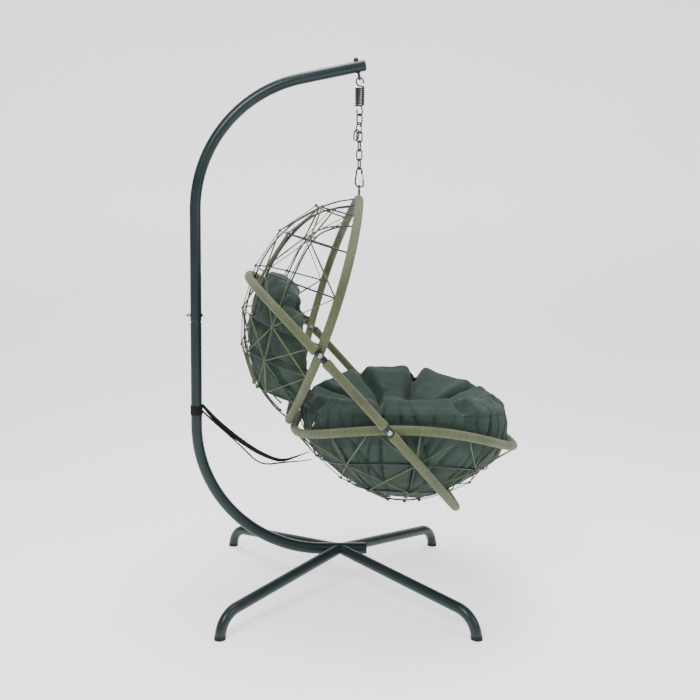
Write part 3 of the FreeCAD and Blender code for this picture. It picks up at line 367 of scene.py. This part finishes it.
def colourRamp(tree, factor, stops):
    ramp = tree.nodes.new("ShaderNodeValToRGB")
    ramp.color_ramp.elements[0].position = stops[0][0]
    ramp.color_ramp.elements[0].color = (*stops[0][1], 1)
    ramp.color_ramp.elements[1].position = stops[-1][0]
    ramp.color_ramp.elements[1].color = (*stops[-1][1], 1)
    for position, colour in stops[1:-1]:
        element = ramp.color_ramp.elements.new(position)
        element.color = (*colour, 1)
    tree.links.new(factor, ramp.inputs["Fac"])
    return ramp.outputs["Color"]


def bump(tree, bsdf, height, strength, distance):
    node = tree.nodes.new("ShaderNodeBump")
    node.inputs["Strength"].default_value = strength
    node.inputs["Distance"].default_value = distance
    tree.links.new(height, node.inputs["Height"])
    tree.links.new(node.outputs["Normal"], bsdf.inputs["Normal"])


def linearColour(red, green, blue):
    return tuple(((c / 255 + 0.055) / 1.055) ** 2.4 for c in (red, green, blue))


def coatedMetal(name, dark, light, roughness, metallic=0.0, grain=900.0):
    mat, tree, bsdf = newMaterial(name, roughness, metallic)
    look = placeGroup(tree, surfaceVariation, **{"Cloud Scale": 6.0, "Grain Scale": grain})
    colour = colourRamp(tree, look.outputs["Cloud"], [(0.3, dark), (0.7, light)])
    tree.links.new(colour, bsdf.inputs["Base Color"])
    rough = mathNode(tree, "ADD", mathNode(tree, "MULTIPLY", look.outputs["Grain"], 0.12), roughness - 0.06)
    tree.links.new(rough, bsdf.inputs["Roughness"])
    bump(tree, bsdf, look.outputs["Grain"], 0.12, 0.0004)
    return mat


def cordMaterial(name, dark, light, rowPitch, dashLength, turnPitch, strength, distance):
    mat, tree, bsdf = newMaterial(name, 0.78, **{"Sheen Weight": 0.15})
    pitches = {"Row Pitch": rowPitch, "Dash Length": dashLength, "Turn Pitch": turnPitch}
    cord = placeGroup(tree, woundCord, **pitches)
    look = placeGroup(tree, surfaceVariation, **{"Cloud Scale": 9.0, "Grain Scale": 1400.0})
    # colour: darker in the grooves between the cord's dashes and rows, which is painted shade, mixed with a
    # random cloudy tone
    shade = mathNode(tree, "ADD", mathNode(tree, "MULTIPLY", cord.outputs["Dash"], 0.55),
                     mathNode(tree, "MULTIPLY", look.outputs["Cloud"], 0.45))
    tree.links.new(colourRamp(tree, shade, [(0.1, dark), (0.75, light)]), bsdf.inputs["Base Color"])
    bump(tree, bsdf, cord.outputs["Height"], strength, distance)
    return mat


def fabricMaterial(name, dark, light, weave, sheen):
    mat, tree, bsdf = newMaterial(name, 0.9, **{"Sheen Weight": sheen, "Sheen Roughness": 0.5})
    look = placeGroup(tree, surfaceVariation, **{"Cloud Scale": 7.0, "Grain Scale": weave})
    coords = addNode(tree, "ShaderNodeTexCoord")
    threads = []
    for direction in ("X", "Y", "Z"):
        wave = addNode(tree, "ShaderNodeTexWave", bands_direction=direction,
                       Scale=weave * 0.35, Distortion=0.6)
        tree.links.new(coords.outputs["Object"], wave.inputs["Vector"])
        threads.append(wave.outputs["Fac"])
    cloth = mathNode(tree, "ADD", mathNode(tree, "MULTIPLY", threads[0], threads[1]), threads[2])
    shade = mathNode(tree, "ADD", mathNode(tree, "MULTIPLY", look.outputs["Cloud"], 0.6),
                     mathNode(tree, "MULTIPLY", look.outputs["Grain"], 0.4))
    tree.links.new(colourRamp(tree, shade, [(0.3, dark), (0.7, light)]), bsdf.inputs["Base Color"])
    total = mathNode(tree, "ADD", mathNode(tree, "MULTIPLY", cloth, 0.5), look.outputs["Grain"])
    bump(tree, bsdf, total, 0.25, 0.0008)
    return mat


steelPaint = coatedMetal("darkGreenPowderCoat", linearColour(22, 34, 35), linearColour(30, 44, 45), 0.3)
chainPaint = coatedMetal("darkChainCoat", linearColour(30, 40, 42), linearColour(44, 55, 57),
                          0.35, 0.3, 700.0)
zincSteel = coatedMetal("zincSteel", linearColour(150, 152, 152), linearColour(190, 191, 190),
                         0.32, 0.9, 1200.0)
rubber = coatedMetal("footRubber", linearColour(14, 18, 19), linearColour(24, 28, 28), 0.75)
blackPlastic = coatedMetal("blackPlastic", linearColour(10, 11, 12), linearColour(18, 19, 20), 0.5)
wrapCord = cordMaterial("wrapCord", linearColour(30, 34, 22), linearColour(98, 106, 72),
                        rowPitch=0.0046, dashLength=0.0072, turnPitch=0.0230, strength=0.9, distance=0.0022)
ropeCord = cordMaterial("ropeCord", linearColour(40, 46, 26), linearColour(96, 106, 68),
                        rowPitch=0.0016, dashLength=0.0022, turnPitch=0.0032, strength=0.6, distance=0.0008)
cushionFabric = fabricMaterial("cushionFabric", linearColour(30, 44, 38), linearColour(48, 65, 57),
                               weave=900.0, sheen=0.05)
webbing = fabricMaterial("blackWebbing", linearColour(8, 8, 9), linearColour(15, 15, 16), 1200.0, 0.0)
print("materials ready")


# ---- tether strap, first of the soft things; four lengths in a row, each crossing one joint

strapSet = {"width": 0.020, "thick": 0.0020, "upperSide": -0.0016, "lowerSide": 0.0016, "samples": 12,
            "twist": {"upper": (50, 10, 20, 40, 72), "lower": (60, 66, 66, 60, 70)},
            "joints": (("stand", "spring_hanger"), ("spring_hanger", "chain_top"),
                       ("chain_top", "chain_low"), ("chain_low", "chair"))}
upperRoute = [(-0.556, 0.701), (-0.519, 0.655), (-0.451, 0.592), (-0.377, 0.538),
              (-0.321, 0.506), (-0.260, 0.484), (-0.200, 0.502), (-0.152, 0.522)]
lowerRoute = [(-0.556, 0.676), (-0.506, 0.628), (-0.446, 0.575), (-0.391, 0.522), (-0.361, 0.490),
              (-0.321, 0.470), (-0.260, 0.478), (-0.226, 0.481), (-0.184, 0.484), (-0.143, 0.490)]


def splineLine(name, points, detail):
    # the smooth line of a route, read back from Blender's own spline
    curve = bpy.data.curves.new(name, "CURVE")
    curve.dimensions = "3D"
    spline = curve.splines.new("NURBS")
    spline.points.add(len(points) - 1)
    for spot, point in zip(spline.points, points):
        spot.co = (*point, 1)
    spline.order_u = 3
    spline.use_endpoint_u = True
    spline.resolution_u = detail
    holder = bpy.data.objects.new(name, curve)
    bpy.context.collection.objects.link(holder)
    mesh = bpy.data.meshes.new_from_object(holder)
    line = [v.co.copy() for v in mesh.vertices]
    bpy.data.objects.remove(holder)
    bpy.data.meshes.remove(mesh)
    return line


def bandMesh(name, line, width, thick, twist):
    # a flat band, upright at no twist, with slightly rounded edges; twist gives degrees at each end
    verts, faces, uvs = [], [], []
    section = ((-0.5, -0.25), (-0.47, -0.5), (0.47, -0.5), (0.5, -0.25),
               (0.5, 0.25), (0.47, 0.5), (-0.47, 0.5), (-0.5, 0.25))
    run = 0.0
    sides = len(section)
    for i, point in enumerate(line):
        tangent = (line[min(i + 1, len(line) - 1)] - line[max(i - 1, 0)]).normalized()
        across = Vector((-tangent.z, 0, tangent.x))
        share = i / (len(line) - 1)
        turn = Quaternion(tangent, math.radians(twist[0] + (twist[1] - twist[0]) * share))
        for wide, deep in section:
            verts.append(point + turn @ (across * (wide * width) + Vector((0, deep * thick, 0))))
        if i:
            step = (point - line[i - 1]).length
            low = (i - 1) * sides
            for j in range(sides):
                k = (j + 1) % sides
                faces.append((low + j, low + k, low + sides + k, low + sides + j))
                a, b = section[j][0] * width, section[k][0] * width
                uvs.append(((run, a), (run, b), (run + step, b), (run + step, a)))
            run += step
    faces.append(tuple(reversed(range(sides))))
    faces.append(tuple(len(verts) - sides + j for j in range(sides)))
    uvs += [[(0, 0)] * sides, [(run, 0)] * sides]
    return addMesh(name, verts, faces, uvs)


def splitLine(line, parts):
    # equal lengths of one line, sharing their end points
    runs = [0.0]
    for a, b in zip(line[:-1], line[1:]):
        runs.append(runs[-1] + (b - a).length)
    total = runs[-1]
    pieces = []
    for part in range(parts):
        low, high = total * part / parts, total * (part + 1) / parts
        piece = [pointAlong(line, runs, low)]
        piece += [p for p, r in zip(line, runs) if low + 1e-5 < r < high - 1e-5]
        piece.append(pointAlong(line, runs, high))
        pieces.append((piece, high - low))
    return pieces


def pointAlong(line, runs, distance):
    for i in range(1, len(runs)):
        if distance <= runs[i] + 1e-9:
            share = (distance - runs[i - 1]) / max(runs[i] - runs[i - 1], 1e-9)
            return line[i - 1].lerp(line[i], share)
    return line[-1].copy()


strands = (("upper", upperRoute, strapSet["upperSide"]), ("lower", lowerRoute, strapSet["lowerSide"]))
for strand, route, side in strands:
    corners = [Vector((x, side, z)) for x, z in route]
    line = splineLine(strand + "StrapLine", corners, strapSet["samples"])
    for number, (piece, length) in enumerate(splitLine(line, 4)):
        band = bandMesh(f"{strand}Strap{number + 1}", piece, strapSet["width"], strapSet["thick"],
                        strapSet["twist"][strand][number:number + 2])
        band.data.materials.append(webbing)
        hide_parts(f"tether_strap_{number + 1}")
        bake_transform(band)
print("strap laid")


# ---- floor and light

stageSet = {"floorSize": 14.0, "key": 130, "fill": 50, "top": 150, "floorGlow": 0.9, "sky": 0.5}
floorMesh = bpy.data.meshes.new("paleFloor")
half = stageSet["floorSize"] / 2
steps = [(-half, -half, 0), (half, -half, 0)]
for i in range(13):
    turn = math.radians(90 * i / 12)
    y = half * 0.7 + 1.5 * math.sin(turn)
    z = 1.5 - 1.5 * math.cos(turn)
    steps += [(-half, y, z), (half, y, z)]
steps += [(-half, half * 0.7 + 1.5, 7), (half, half * 0.7 + 1.5, 7)]
strips = [(2 * i, 2 * i + 1, 2 * i + 3, 2 * i + 2) for i in range(len(steps) // 2 - 1)]
floorMesh.from_pydata(steps, [], strips)
floorMesh.shade_smooth()
floorObj = bpy.data.objects.new("paleFloor", floorMesh)
bpy.context.collection.objects.link(floorObj)
floorMat, floorTree, floorBsdf = newMaterial("paleFloor", 0.9)
floorLook = placeGroup(floorTree, surfaceVariation, **{"Cloud Scale": 1.0, "Grain Scale": 60.0})
floorStops = [(0.3, (0.90, 0.90, 0.90)), (0.7, (0.93, 0.93, 0.93))]
floorColour = colourRamp(floorTree, floorLook.outputs["Cloud"], floorStops)
floorTree.links.new(floorColour, floorBsdf.inputs["Base Color"])
floorBsdf.inputs["Emission Color"].default_value = (1, 1, 1, 1)
floorBsdf.inputs["Emission Strength"].default_value = stageSet["floorGlow"]
floorMesh.materials.append(floorMat)

world = bpy.data.worlds.new("studio")
bpy.context.scene.world = world
world.use_nodes = True
world.node_tree.nodes["Background"].inputs["Color"].default_value = (1, 1, 1, 1)
world.node_tree.nodes["Background"].inputs["Strength"].default_value = stageSet["sky"]


def addLight(name, place, target, power, spread):
    data = bpy.data.lights.new(name, "AREA")
    data.energy = power
    data.shape = "DISK"
    data.size = spread
    light = bpy.data.objects.new(name, data)
    light.location = place
    light.rotation_euler = (Vector(target) - Vector(place)).to_track_quat("-Z", "Y").to_euler()
    bpy.context.collection.objects.link(light)


addLight("keyLight", (-1.6, -3.0, 3.6), (0, 0, 0.8), stageSet["key"], 1.6)
addLight("fillLight", (2.8, -2.4, 2.2), (0.1, 0, 0.8), stageSet["fill"], 2.0)
addLight("topLight", (0.2, 0.4, 4.2), (0.1, 0, 0.6), stageSet["top"], 2.2)
print("stage ready")


# ---- wrapped rings

wrapSet = {"radius": 0.0155, "sides": 28, "gap": 0.0165, "double": 0.0018, "doubleEnd": 0.045,
           "boltSpots": ((-0.131, 0.4426, 0.948), (0.086, 0.4567, 0.708))}


def buildWrap(name, node, pointAt, count):
    verts, faces, uvs = [], [], []
    line = smoothLoop(wholeLoop(pointAt, count), 8)
    tubeInto(verts, faces, uvs, line, wrapSet["radius"], wrapSet["sides"], closed=True)
    obj = addMesh(name, verts, faces, uvs)
    obj.data.materials.append(wrapCord)
    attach(obj, "chair")
    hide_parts(node)
    return obj


buildWrap("hoodRingCord", "hood_ring_wrap", hoodRing, 11)
buildWrap("seatRingCord", "seat_ring_wrap", seatRing, 12)


def buildBraceWrap():
    # the cord stops short of each bolt, and is wound double just beside it
    line = smoothLoop(wholeLoop(braceRing, 16), 12)
    bolts = [Vector((x, side * y, z)) for x, y, z in wrapSet["boltSpots"] for side in (-1, 1)]
    verts, faces, uvs = [], [], []
    stretch = []
    start = next(i for i, p in enumerate(line) if min((p - b).length for b in bolts) < wrapSet["gap"])
    for i in range(start, start + len(line) + 1):
        point = line[i % len(line)]
        near = min((point - b).length for b in bolts)
        if near > wrapSet["gap"]:
            extra = wrapSet["double"] * (1 if near < wrapSet["doubleEnd"] else 0)
            stretch.append((point, wrapSet["radius"] + extra))
        elif stretch:
            tubeInto(verts, faces, uvs, [p for p, r in stretch], [r for p, r in stretch], wrapSet["sides"])
            stretch = []
    obj = addMesh("braceCord", verts, faces, uvs)
    obj.data.materials.append(wrapCord)
    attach(obj, "chair")
    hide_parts("brace_wrap")


buildBraceWrap()
print("rings wrapped")


# ---- netting: taut cords and bound knots

netSet = {"hoodLevels": (0.088, 0.233, 0.404, 0.591, 0.740, 0.883),
          "hoodRibs": (-0.72, -0.42, 0.0, 0.42, 0.72), "bowlLevels": (0.78, 0.48, 0.20),
          "bowlRibs": tuple(range(0, 360, 45)), "cord": 0.0018, "wire": 0.003, "edgeInset": 0.0155 - 0.0049}


def knotInto(verts, faces, uvs, place, size, seed):
    # a few turns of cord each way round a crossing
    rng = random.Random(seed)
    outward = (place - Vector((0.05, 0, 0.8))).normalized()
    first = outward.cross(Vector((0, 0, 1))).normalized()
    if first.length < 0.5:
        first = Vector((1, 0, 0))
    second = outward.cross(first).normalized()
    diagonal, counter = (first + second).normalized(), (first - second).normalized()
    for axis, other, turns in ((first, second, 3), (second, first, 2), (diagonal, counter, 2)):
        line = []
        count = 9 * turns
        for i in range(count + 1):
            turn = 2 * math.pi * i / 9 + rng.uniform(-0.05, 0.05)
            spread = (i / count - 0.5) * size * 0.9
            reach = size * (0.78 + 0.12 * rng.random())
            line.append(place + axis * spread + other * (math.cos(turn) * reach)
                        + outward * (math.sin(turn) * reach * 0.75))
        tubeInto(verts, faces, uvs, line, 0.0013, 6)


def ropeInto(verts, faces, uvs, start, end, seed):
    rng = random.Random(seed)
    along = end - start
    if along.length < 0.024:
        return
    side = along.cross(Vector((0.3, 1, 0.2))).normalized()
    strands = 2 if rng.random() < 0.45 else 1
    for k in range(strands):
        shift = side * (0.0017 * (2 * k - 1) if strands == 2 else 0)
        sag = rng.uniform(0.0, 0.0012)
        points = []
        for t in (0, 0.25, 0.5, 0.75, 1):
            drop = Vector((0, 0, sag * 4 * t * (1 - t)))
            points.append(start + along * t + shift * (1 - abs(2 * t - 1) * 0.6) - drop)
        tubeInto(verts, faces, uvs, points, netSet["cord"], 8)


def buildHoodNet():
    outside = -(netSet["wire"] + netSet["cord"] + 0.0002)
    columns = (-0.95,) + netSet["hoodRibs"] + (0.95,)
    knots = {}
    for row, share in enumerate(netSet["hoodLevels"]):
        for column, across in enumerate(columns):
            if abs(across) > 0.9:
                edge = math.copysign(ringReach(share, netSet["edgeInset"]), across)
                knots[row, column] = hoodInside(share, edge, outside)
            else:
                knots[row, column] = hoodInside(share, across, outside)
    last = len(columns) - 1
    pairs = []
    for row in range(len(netSet["hoodLevels"]) - 1):
        for column in range(last + 1):
            if 0 < column < last:
                pairs.append((knots[row, column], knots[row + 1, column]))
            leansOut = (row + column) % 2 == 0 or row > 2
            if column < last and leansOut:
                pairs.append((knots[row, column], knots[row + 1, column + 1]))
            if column > 0 and leansOut:
                pairs.append((knots[row, column], knots[row + 1, column - 1]))
    bound = [knots[key] for key in knots if 0 < key[1] < last]
    return pairs, bound


def buildBowlNet():
    outside = -(netSet["wire"] + netSet["cord"] + 0.0002)
    pairs, bound = [], []
    for angle in netSet["bowlRibs"]:
        rim = bowlReach(angle, netSet["edgeInset"])
        mid = [bowlInside(angle, share, outside) for share in netSet["bowlLevels"]]
        bound.extend(mid)
        pairs.append((bowlInside(angle, rim, outside), mid[0]))
        for side in (-1, 1):
            pairs.append((bowlInside(angle + side * 20.25, rim, outside), mid[0]))
            crossing = bowlInside(angle + side * 22.5, 0.62, outside)
            pairs.append((mid[0], crossing))
            pairs.append((crossing, mid[1]))
            if side > 0:
                bound.append(crossing)
        pairs.append((mid[1], mid[2]))
    return pairs, bound


nets = (("hoodNetting", "back_lashing", buildHoodNet), ("seatNetting", "seat_lashing", buildBowlNet))
for name, node, build in nets:
    pairs, bound = build()
    verts, faces, uvs = [], [], []
    for index, (start, end) in enumerate(pairs):
        ropeInto(verts, faces, uvs, start, end, index)
    for index, place in enumerate(bound):
        knotInto(verts, faces, uvs, place, 0.0062, 1000 + index)
    net = addMesh(name, verts, faces, uvs)
    net.data.materials.append(ropeCord)
    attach(net, "chair")
    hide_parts(node)
print("netting tied")


# ---- cushions

def puffUp(obj, voxel, pressure, cap):
    # remesh, swell as a sealed cloth, and hold every point within cap of where it was
    remesh = obj.modifiers.new("remesh", "REMESH")
    remesh.mode = "VOXEL"
    remesh.voxel_size = voxel
    bpy.context.view_layer.objects.active = obj
    obj.select_set(True)
    bpy.ops.object.modifier_apply(modifier="remesh")
    before = [v.co.copy() for v in obj.data.vertices]
    cloth = obj.modifiers.new("cloth", "CLOTH")
    cloth.settings.use_pressure = True
    cloth.settings.uniform_pressure_force = pressure
    cloth.settings.quality = 4
    cloth.settings.effector_weights.gravity = 0
    cloth.point_cache.frame_start = 1
    cloth.point_cache.frame_end = 20
    for step in range(1, 21):
        bpy.context.scene.frame_set(step)
    bpy.ops.object.modifier_apply(modifier="cloth")
    bpy.context.scene.frame_set(1)
    for vertex, old in zip(obj.data.vertices, before):
        move = vertex.co - old
        if move.length > cap:
            vertex.co = old + move * (cap / move.length)


seatPad = {"gap": 0.0145, "rim": 0.757, "rimSwing": 0.022, "middle": 0.672, "petals": 8,
           "valley": 0.066, "valleyWidth": 0.017, "pleats": 44, "voxel": 0.006, "cap": 0.010, "seed": 7}


def rimTop(angle):
    return seatPad["rim"] - seatPad["rimSwing"] * math.cos(2 * math.radians(angle))


def seatPadProfile(angle):
    # from the bowl's bottom out along the basket, over the rim and down into the dish
    line = [bowlInside(angle, share, seatPad["gap"]) for share in (0.30, 0.45, 0.60, 0.72, 0.82, 0.90)]
    ring = seatRing(angle)
    top = rimTop(angle)

    def out(share, height):
        return Vector((seat["x"] + (ring.x - seat["x"]) * share, ring.y * share, height))

    line += [out(0.925, ring.z + 0.026), out(0.945, ring.z * 0.6 + top * 0.4),
             out(0.955, ring.z * 0.35 + top * 0.65),
             out(0.94, top - 0.016), out(0.89, top - 0.002), out(0.80, top), out(0.68, top - 0.018),
             out(0.54, seatPad["middle"] * 0.45 + top * 0.55), out(0.38, seatPad["middle"] + 0.016),
             out(0.2, seatPad["middle"] + 0.002)]
    return line


def buildSeatPad():
    count = 96
    verts, faces = [], []
    for i in range(count):
        verts += seatPadProfile(360 * i / count)
    rings = len(verts) // count
    for i in range(count):
        k = (i + 1) % count
        for j in range(rings - 1):
            faces.append((i * rings + j, k * rings + j, k * rings + j + 1, i * rings + j + 1))
    low = len(verts)
    bottom = sum((verts[i * rings] for i in range(count)), Vector()) / count
    top = sum((verts[i * rings + rings - 1] for i in range(count)), Vector()) / count
    verts += [bottom, top]
    for i in range(count):
        k = (i + 1) % count
        faces.append((low, k * rings, i * rings))
        faces.append((low + 1, i * rings + rings - 1, k * rings + rings - 1))
    return addMesh("seatCushion", verts, faces)


def sculptSeat(obj):
    rng = random.Random(seatPad["seed"])
    petals = [360 * (k + 0.5) / seatPad["petals"] + rng.uniform(-5, 5) for k in range(seatPad["petals"])]
    pleats = []
    for k in range(seatPad["pleats"]):
        angle = 360 * k / seatPad["pleats"] + rng.uniform(-2.4, 2.4)
        depth, width = rng.uniform(0.006, 0.026), rng.uniform(0.0045, 0.0110)
        slant, long = rng.uniform(-0.11, 0.11), rng.uniform(0.25, 1.0)
        pleats.append((angle, depth, width, slant, long))
    mesh = obj.data
    normals = [v.normal.copy() for v in mesh.vertices]
    for vertex, normal in zip(mesh.vertices, normals):
        x = (vertex.co.x - seat["x"]) / seat["halfLength"]
        y = -vertex.co.y / seat["halfWidth"]
        share = math.hypot(x, y)
        angle = math.degrees(math.atan2(y, x)) % 360
        ring = seatRing(angle)
        top = rimTop(angle)
        height = (vertex.co.z - ring.z) / max(top - ring.z, 0.01)
        move = 0.0
        upper = max(0.0, min(1.0, (height - 0.15) / 0.5)) if share > 0.8 else 1.0
        if normal.z > -0.3 and vertex.co.z > ring.z:
            for petal in petals:
                off = (angle - petal + 180) % 360 - 180
                distance = math.radians(off) * max(share, 0.12) * 0.42
                outer = 1.0 if share < 0.78 else max(0.18, 1 - (share - 0.78) / 0.2)
                reach = max(0.0, min(1.0, (share - 0.16) / 0.2)) * outer
                width = seatPad["valleyWidth"] * (0.6 + 0.9 * share)
                move -= seatPad["valley"] * reach * math.exp(-(distance / width) ** 2) * upper
                if abs(off) < 23:
                    move += 0.014 * reach * math.cos(math.radians(off) * 4) ** 2
            move -= 0.030 * math.exp(-((share - 0.30) / 0.06) ** 2) * (normal.z > 0.3)
        side = max(0.0, 1 - abs(height - 0.45) / 0.75) if share > 0.82 else 0.0
        below = max(0.0, min(1.0, -height * 1.2)) * max(0.0, min(1.0, (share - 0.35) / 0.3))
        if side or below:
            for place, depth, width, slant, long in pleats:
                off = (angle - place - slant * 60 * height + 180) % 360 - 180
                if abs(off) > 8:
                    continue
                distance = math.radians(off) * 0.42
                fade = max(0.0, 1 - max(0, height - long) * 3.0)
                move -= depth * math.exp(-(distance / width) ** 2) * (side * fade + 0.75 * below)
        seam = math.exp(-((vertex.co.z - (top - 0.036)) / 0.0022) ** 2) if share > 0.86 else 0.0
        move -= 0.0045 * seam
        lump = noise.noise(vertex.co * 9.0) * 0.009
        lump += noise.noise(vertex.co * 26.0 + Vector((3, 1, 2))) * 0.0025
        move += lump
        if height < 0.15 and share > 0.3:
            move = min(move, 0.002)
        vertex.co += normal * move
    mesh.update()


seatCushion = buildSeatPad()
puffUp(seatCushion, seatPad["voxel"], 4.0, seatPad["cap"])
sculptSeat(seatCushion)
seatCushion.data.shade_smooth()
seatCushion.data.materials.append(cushionFabric)
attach(seatCushion, "chair")
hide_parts("seat_cushion")
print("seat cushion", len(seatCushion.data.vertices), "points")


backPad = {"sections": ((0.405, 0.110, 0.056, 0.040), (0.42, 0.180, 0.050, 0.080), (0.46, 0.240, 0.044, 0.118),
                        (0.54, 0.280, 0.040, 0.138), (0.64, 0.285, 0.038, 0.146), (0.74, 0.262, 0.036, 0.146),
                        (0.82, 0.220, 0.034, 0.132), (0.875, 0.170, 0.034, 0.100), (0.90, 0.120, 0.040, 0.050)),
           "voxel": 0.006, "cap": 0.010}


def backPadRing(share, half, back, thick, count):
    width, depth = hoodWidth(share), hoodDepth(share)
    radius = (width * width + depth * depth) / (2 * depth)
    ring = []
    for i in range(count):
        turn = 2 * math.pi * i / count
        y = half * math.copysign(abs(math.cos(turn)) ** 0.8, math.cos(turn))
        wall = math.sqrt(max(radius * radius - y * y, 0)) - (radius - depth)
        deep = wall - back - thick * (0.5 + 0.5 * math.sin(turn))
        ring.append(hood["top"] + hoodDown * (share * hoodLength) + hoodBack * deep + Vector((0, y, 0)))
    return ring


def buildBackPad():
    count = 48
    rings = []
    sections = backPad["sections"]
    for (a, b) in zip(sections[:-1], sections[1:]):
        for k in range(4):
            t = k / 4
            rings.append(backPadRing(*[p + (q - p) * t for p, q in zip(a, b)], count))
    rings.append(backPadRing(*sections[-1], count))
    verts = [p for ring in rings for p in ring]
    faces = []
    for r in range(len(rings) - 1):
        for i in range(count):
            k = (i + 1) % count
            faces.append((r * count + i, r * count + k, (r + 1) * count + k, (r + 1) * count + i))
    faces.append(tuple(reversed(range(count))))
    faces.append(tuple((len(rings) - 1) * count + i for i in range(count)))
    return addMesh("backCushion", verts, faces)


def sculptBack(obj):
    mesh = obj.data
    normals = [v.normal.copy() for v in mesh.vertices]
    for vertex, normal in zip(mesh.vertices, normals):
        local = vertex.co - hood["top"]
        share = local.dot(hoodDown) / hoodLength
        y = vertex.co.y
        move = 0.0
        for line in (0.50, 0.61, 0.73):
            move -= 0.015 * math.exp(-((share - line) * hoodLength / 0.011) ** 2)
        for line in (-0.19, -0.065, 0.065, 0.19):
            move -= 0.013 * math.exp(-((y - line * (1.15 - 0.5 * max(0, share - 0.6))) / 0.010) ** 2)
        move += noise.noise(vertex.co * 11.0) * 0.006 + noise.noise(vertex.co * 34.0) * 0.0035
        vertex.co += normal * (move + 0.004)
    mesh.update()


backCushion = buildBackPad()
puffUp(backCushion, backPad["voxel"], 4.0, backPad["cap"])
sculptBack(backCushion)
backCushion.data.shade_smooth()
backCushion.data.materials.append(cushionFabric)
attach(backCushion, "chair")
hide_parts("back_cushion")
print("back cushion", len(backCushion.data.vertices), "points")


# ---- finishes for the CAD pieces that show as they are

bySlot = {"coated_steel": steelPaint, "dark_hardware": chainPaint, "bright_hardware": zincSteel,
          "ring_wrap": wrapCord,
          "lashing_cord": ropeCord, "cushion_fabric": cushionFabric, "black_rubber": rubber,
          "black_plastic": blackPlastic, "black_webbing": webbing}
for part in frame["record"]["subparts"]:
    piece = nodes[part["node"]]
    for slotIndex in range(len(piece.material_slots)):
        piece.material_slots[slotIndex].material = bySlot[part["material_slot"]]
print("finishes assigned")
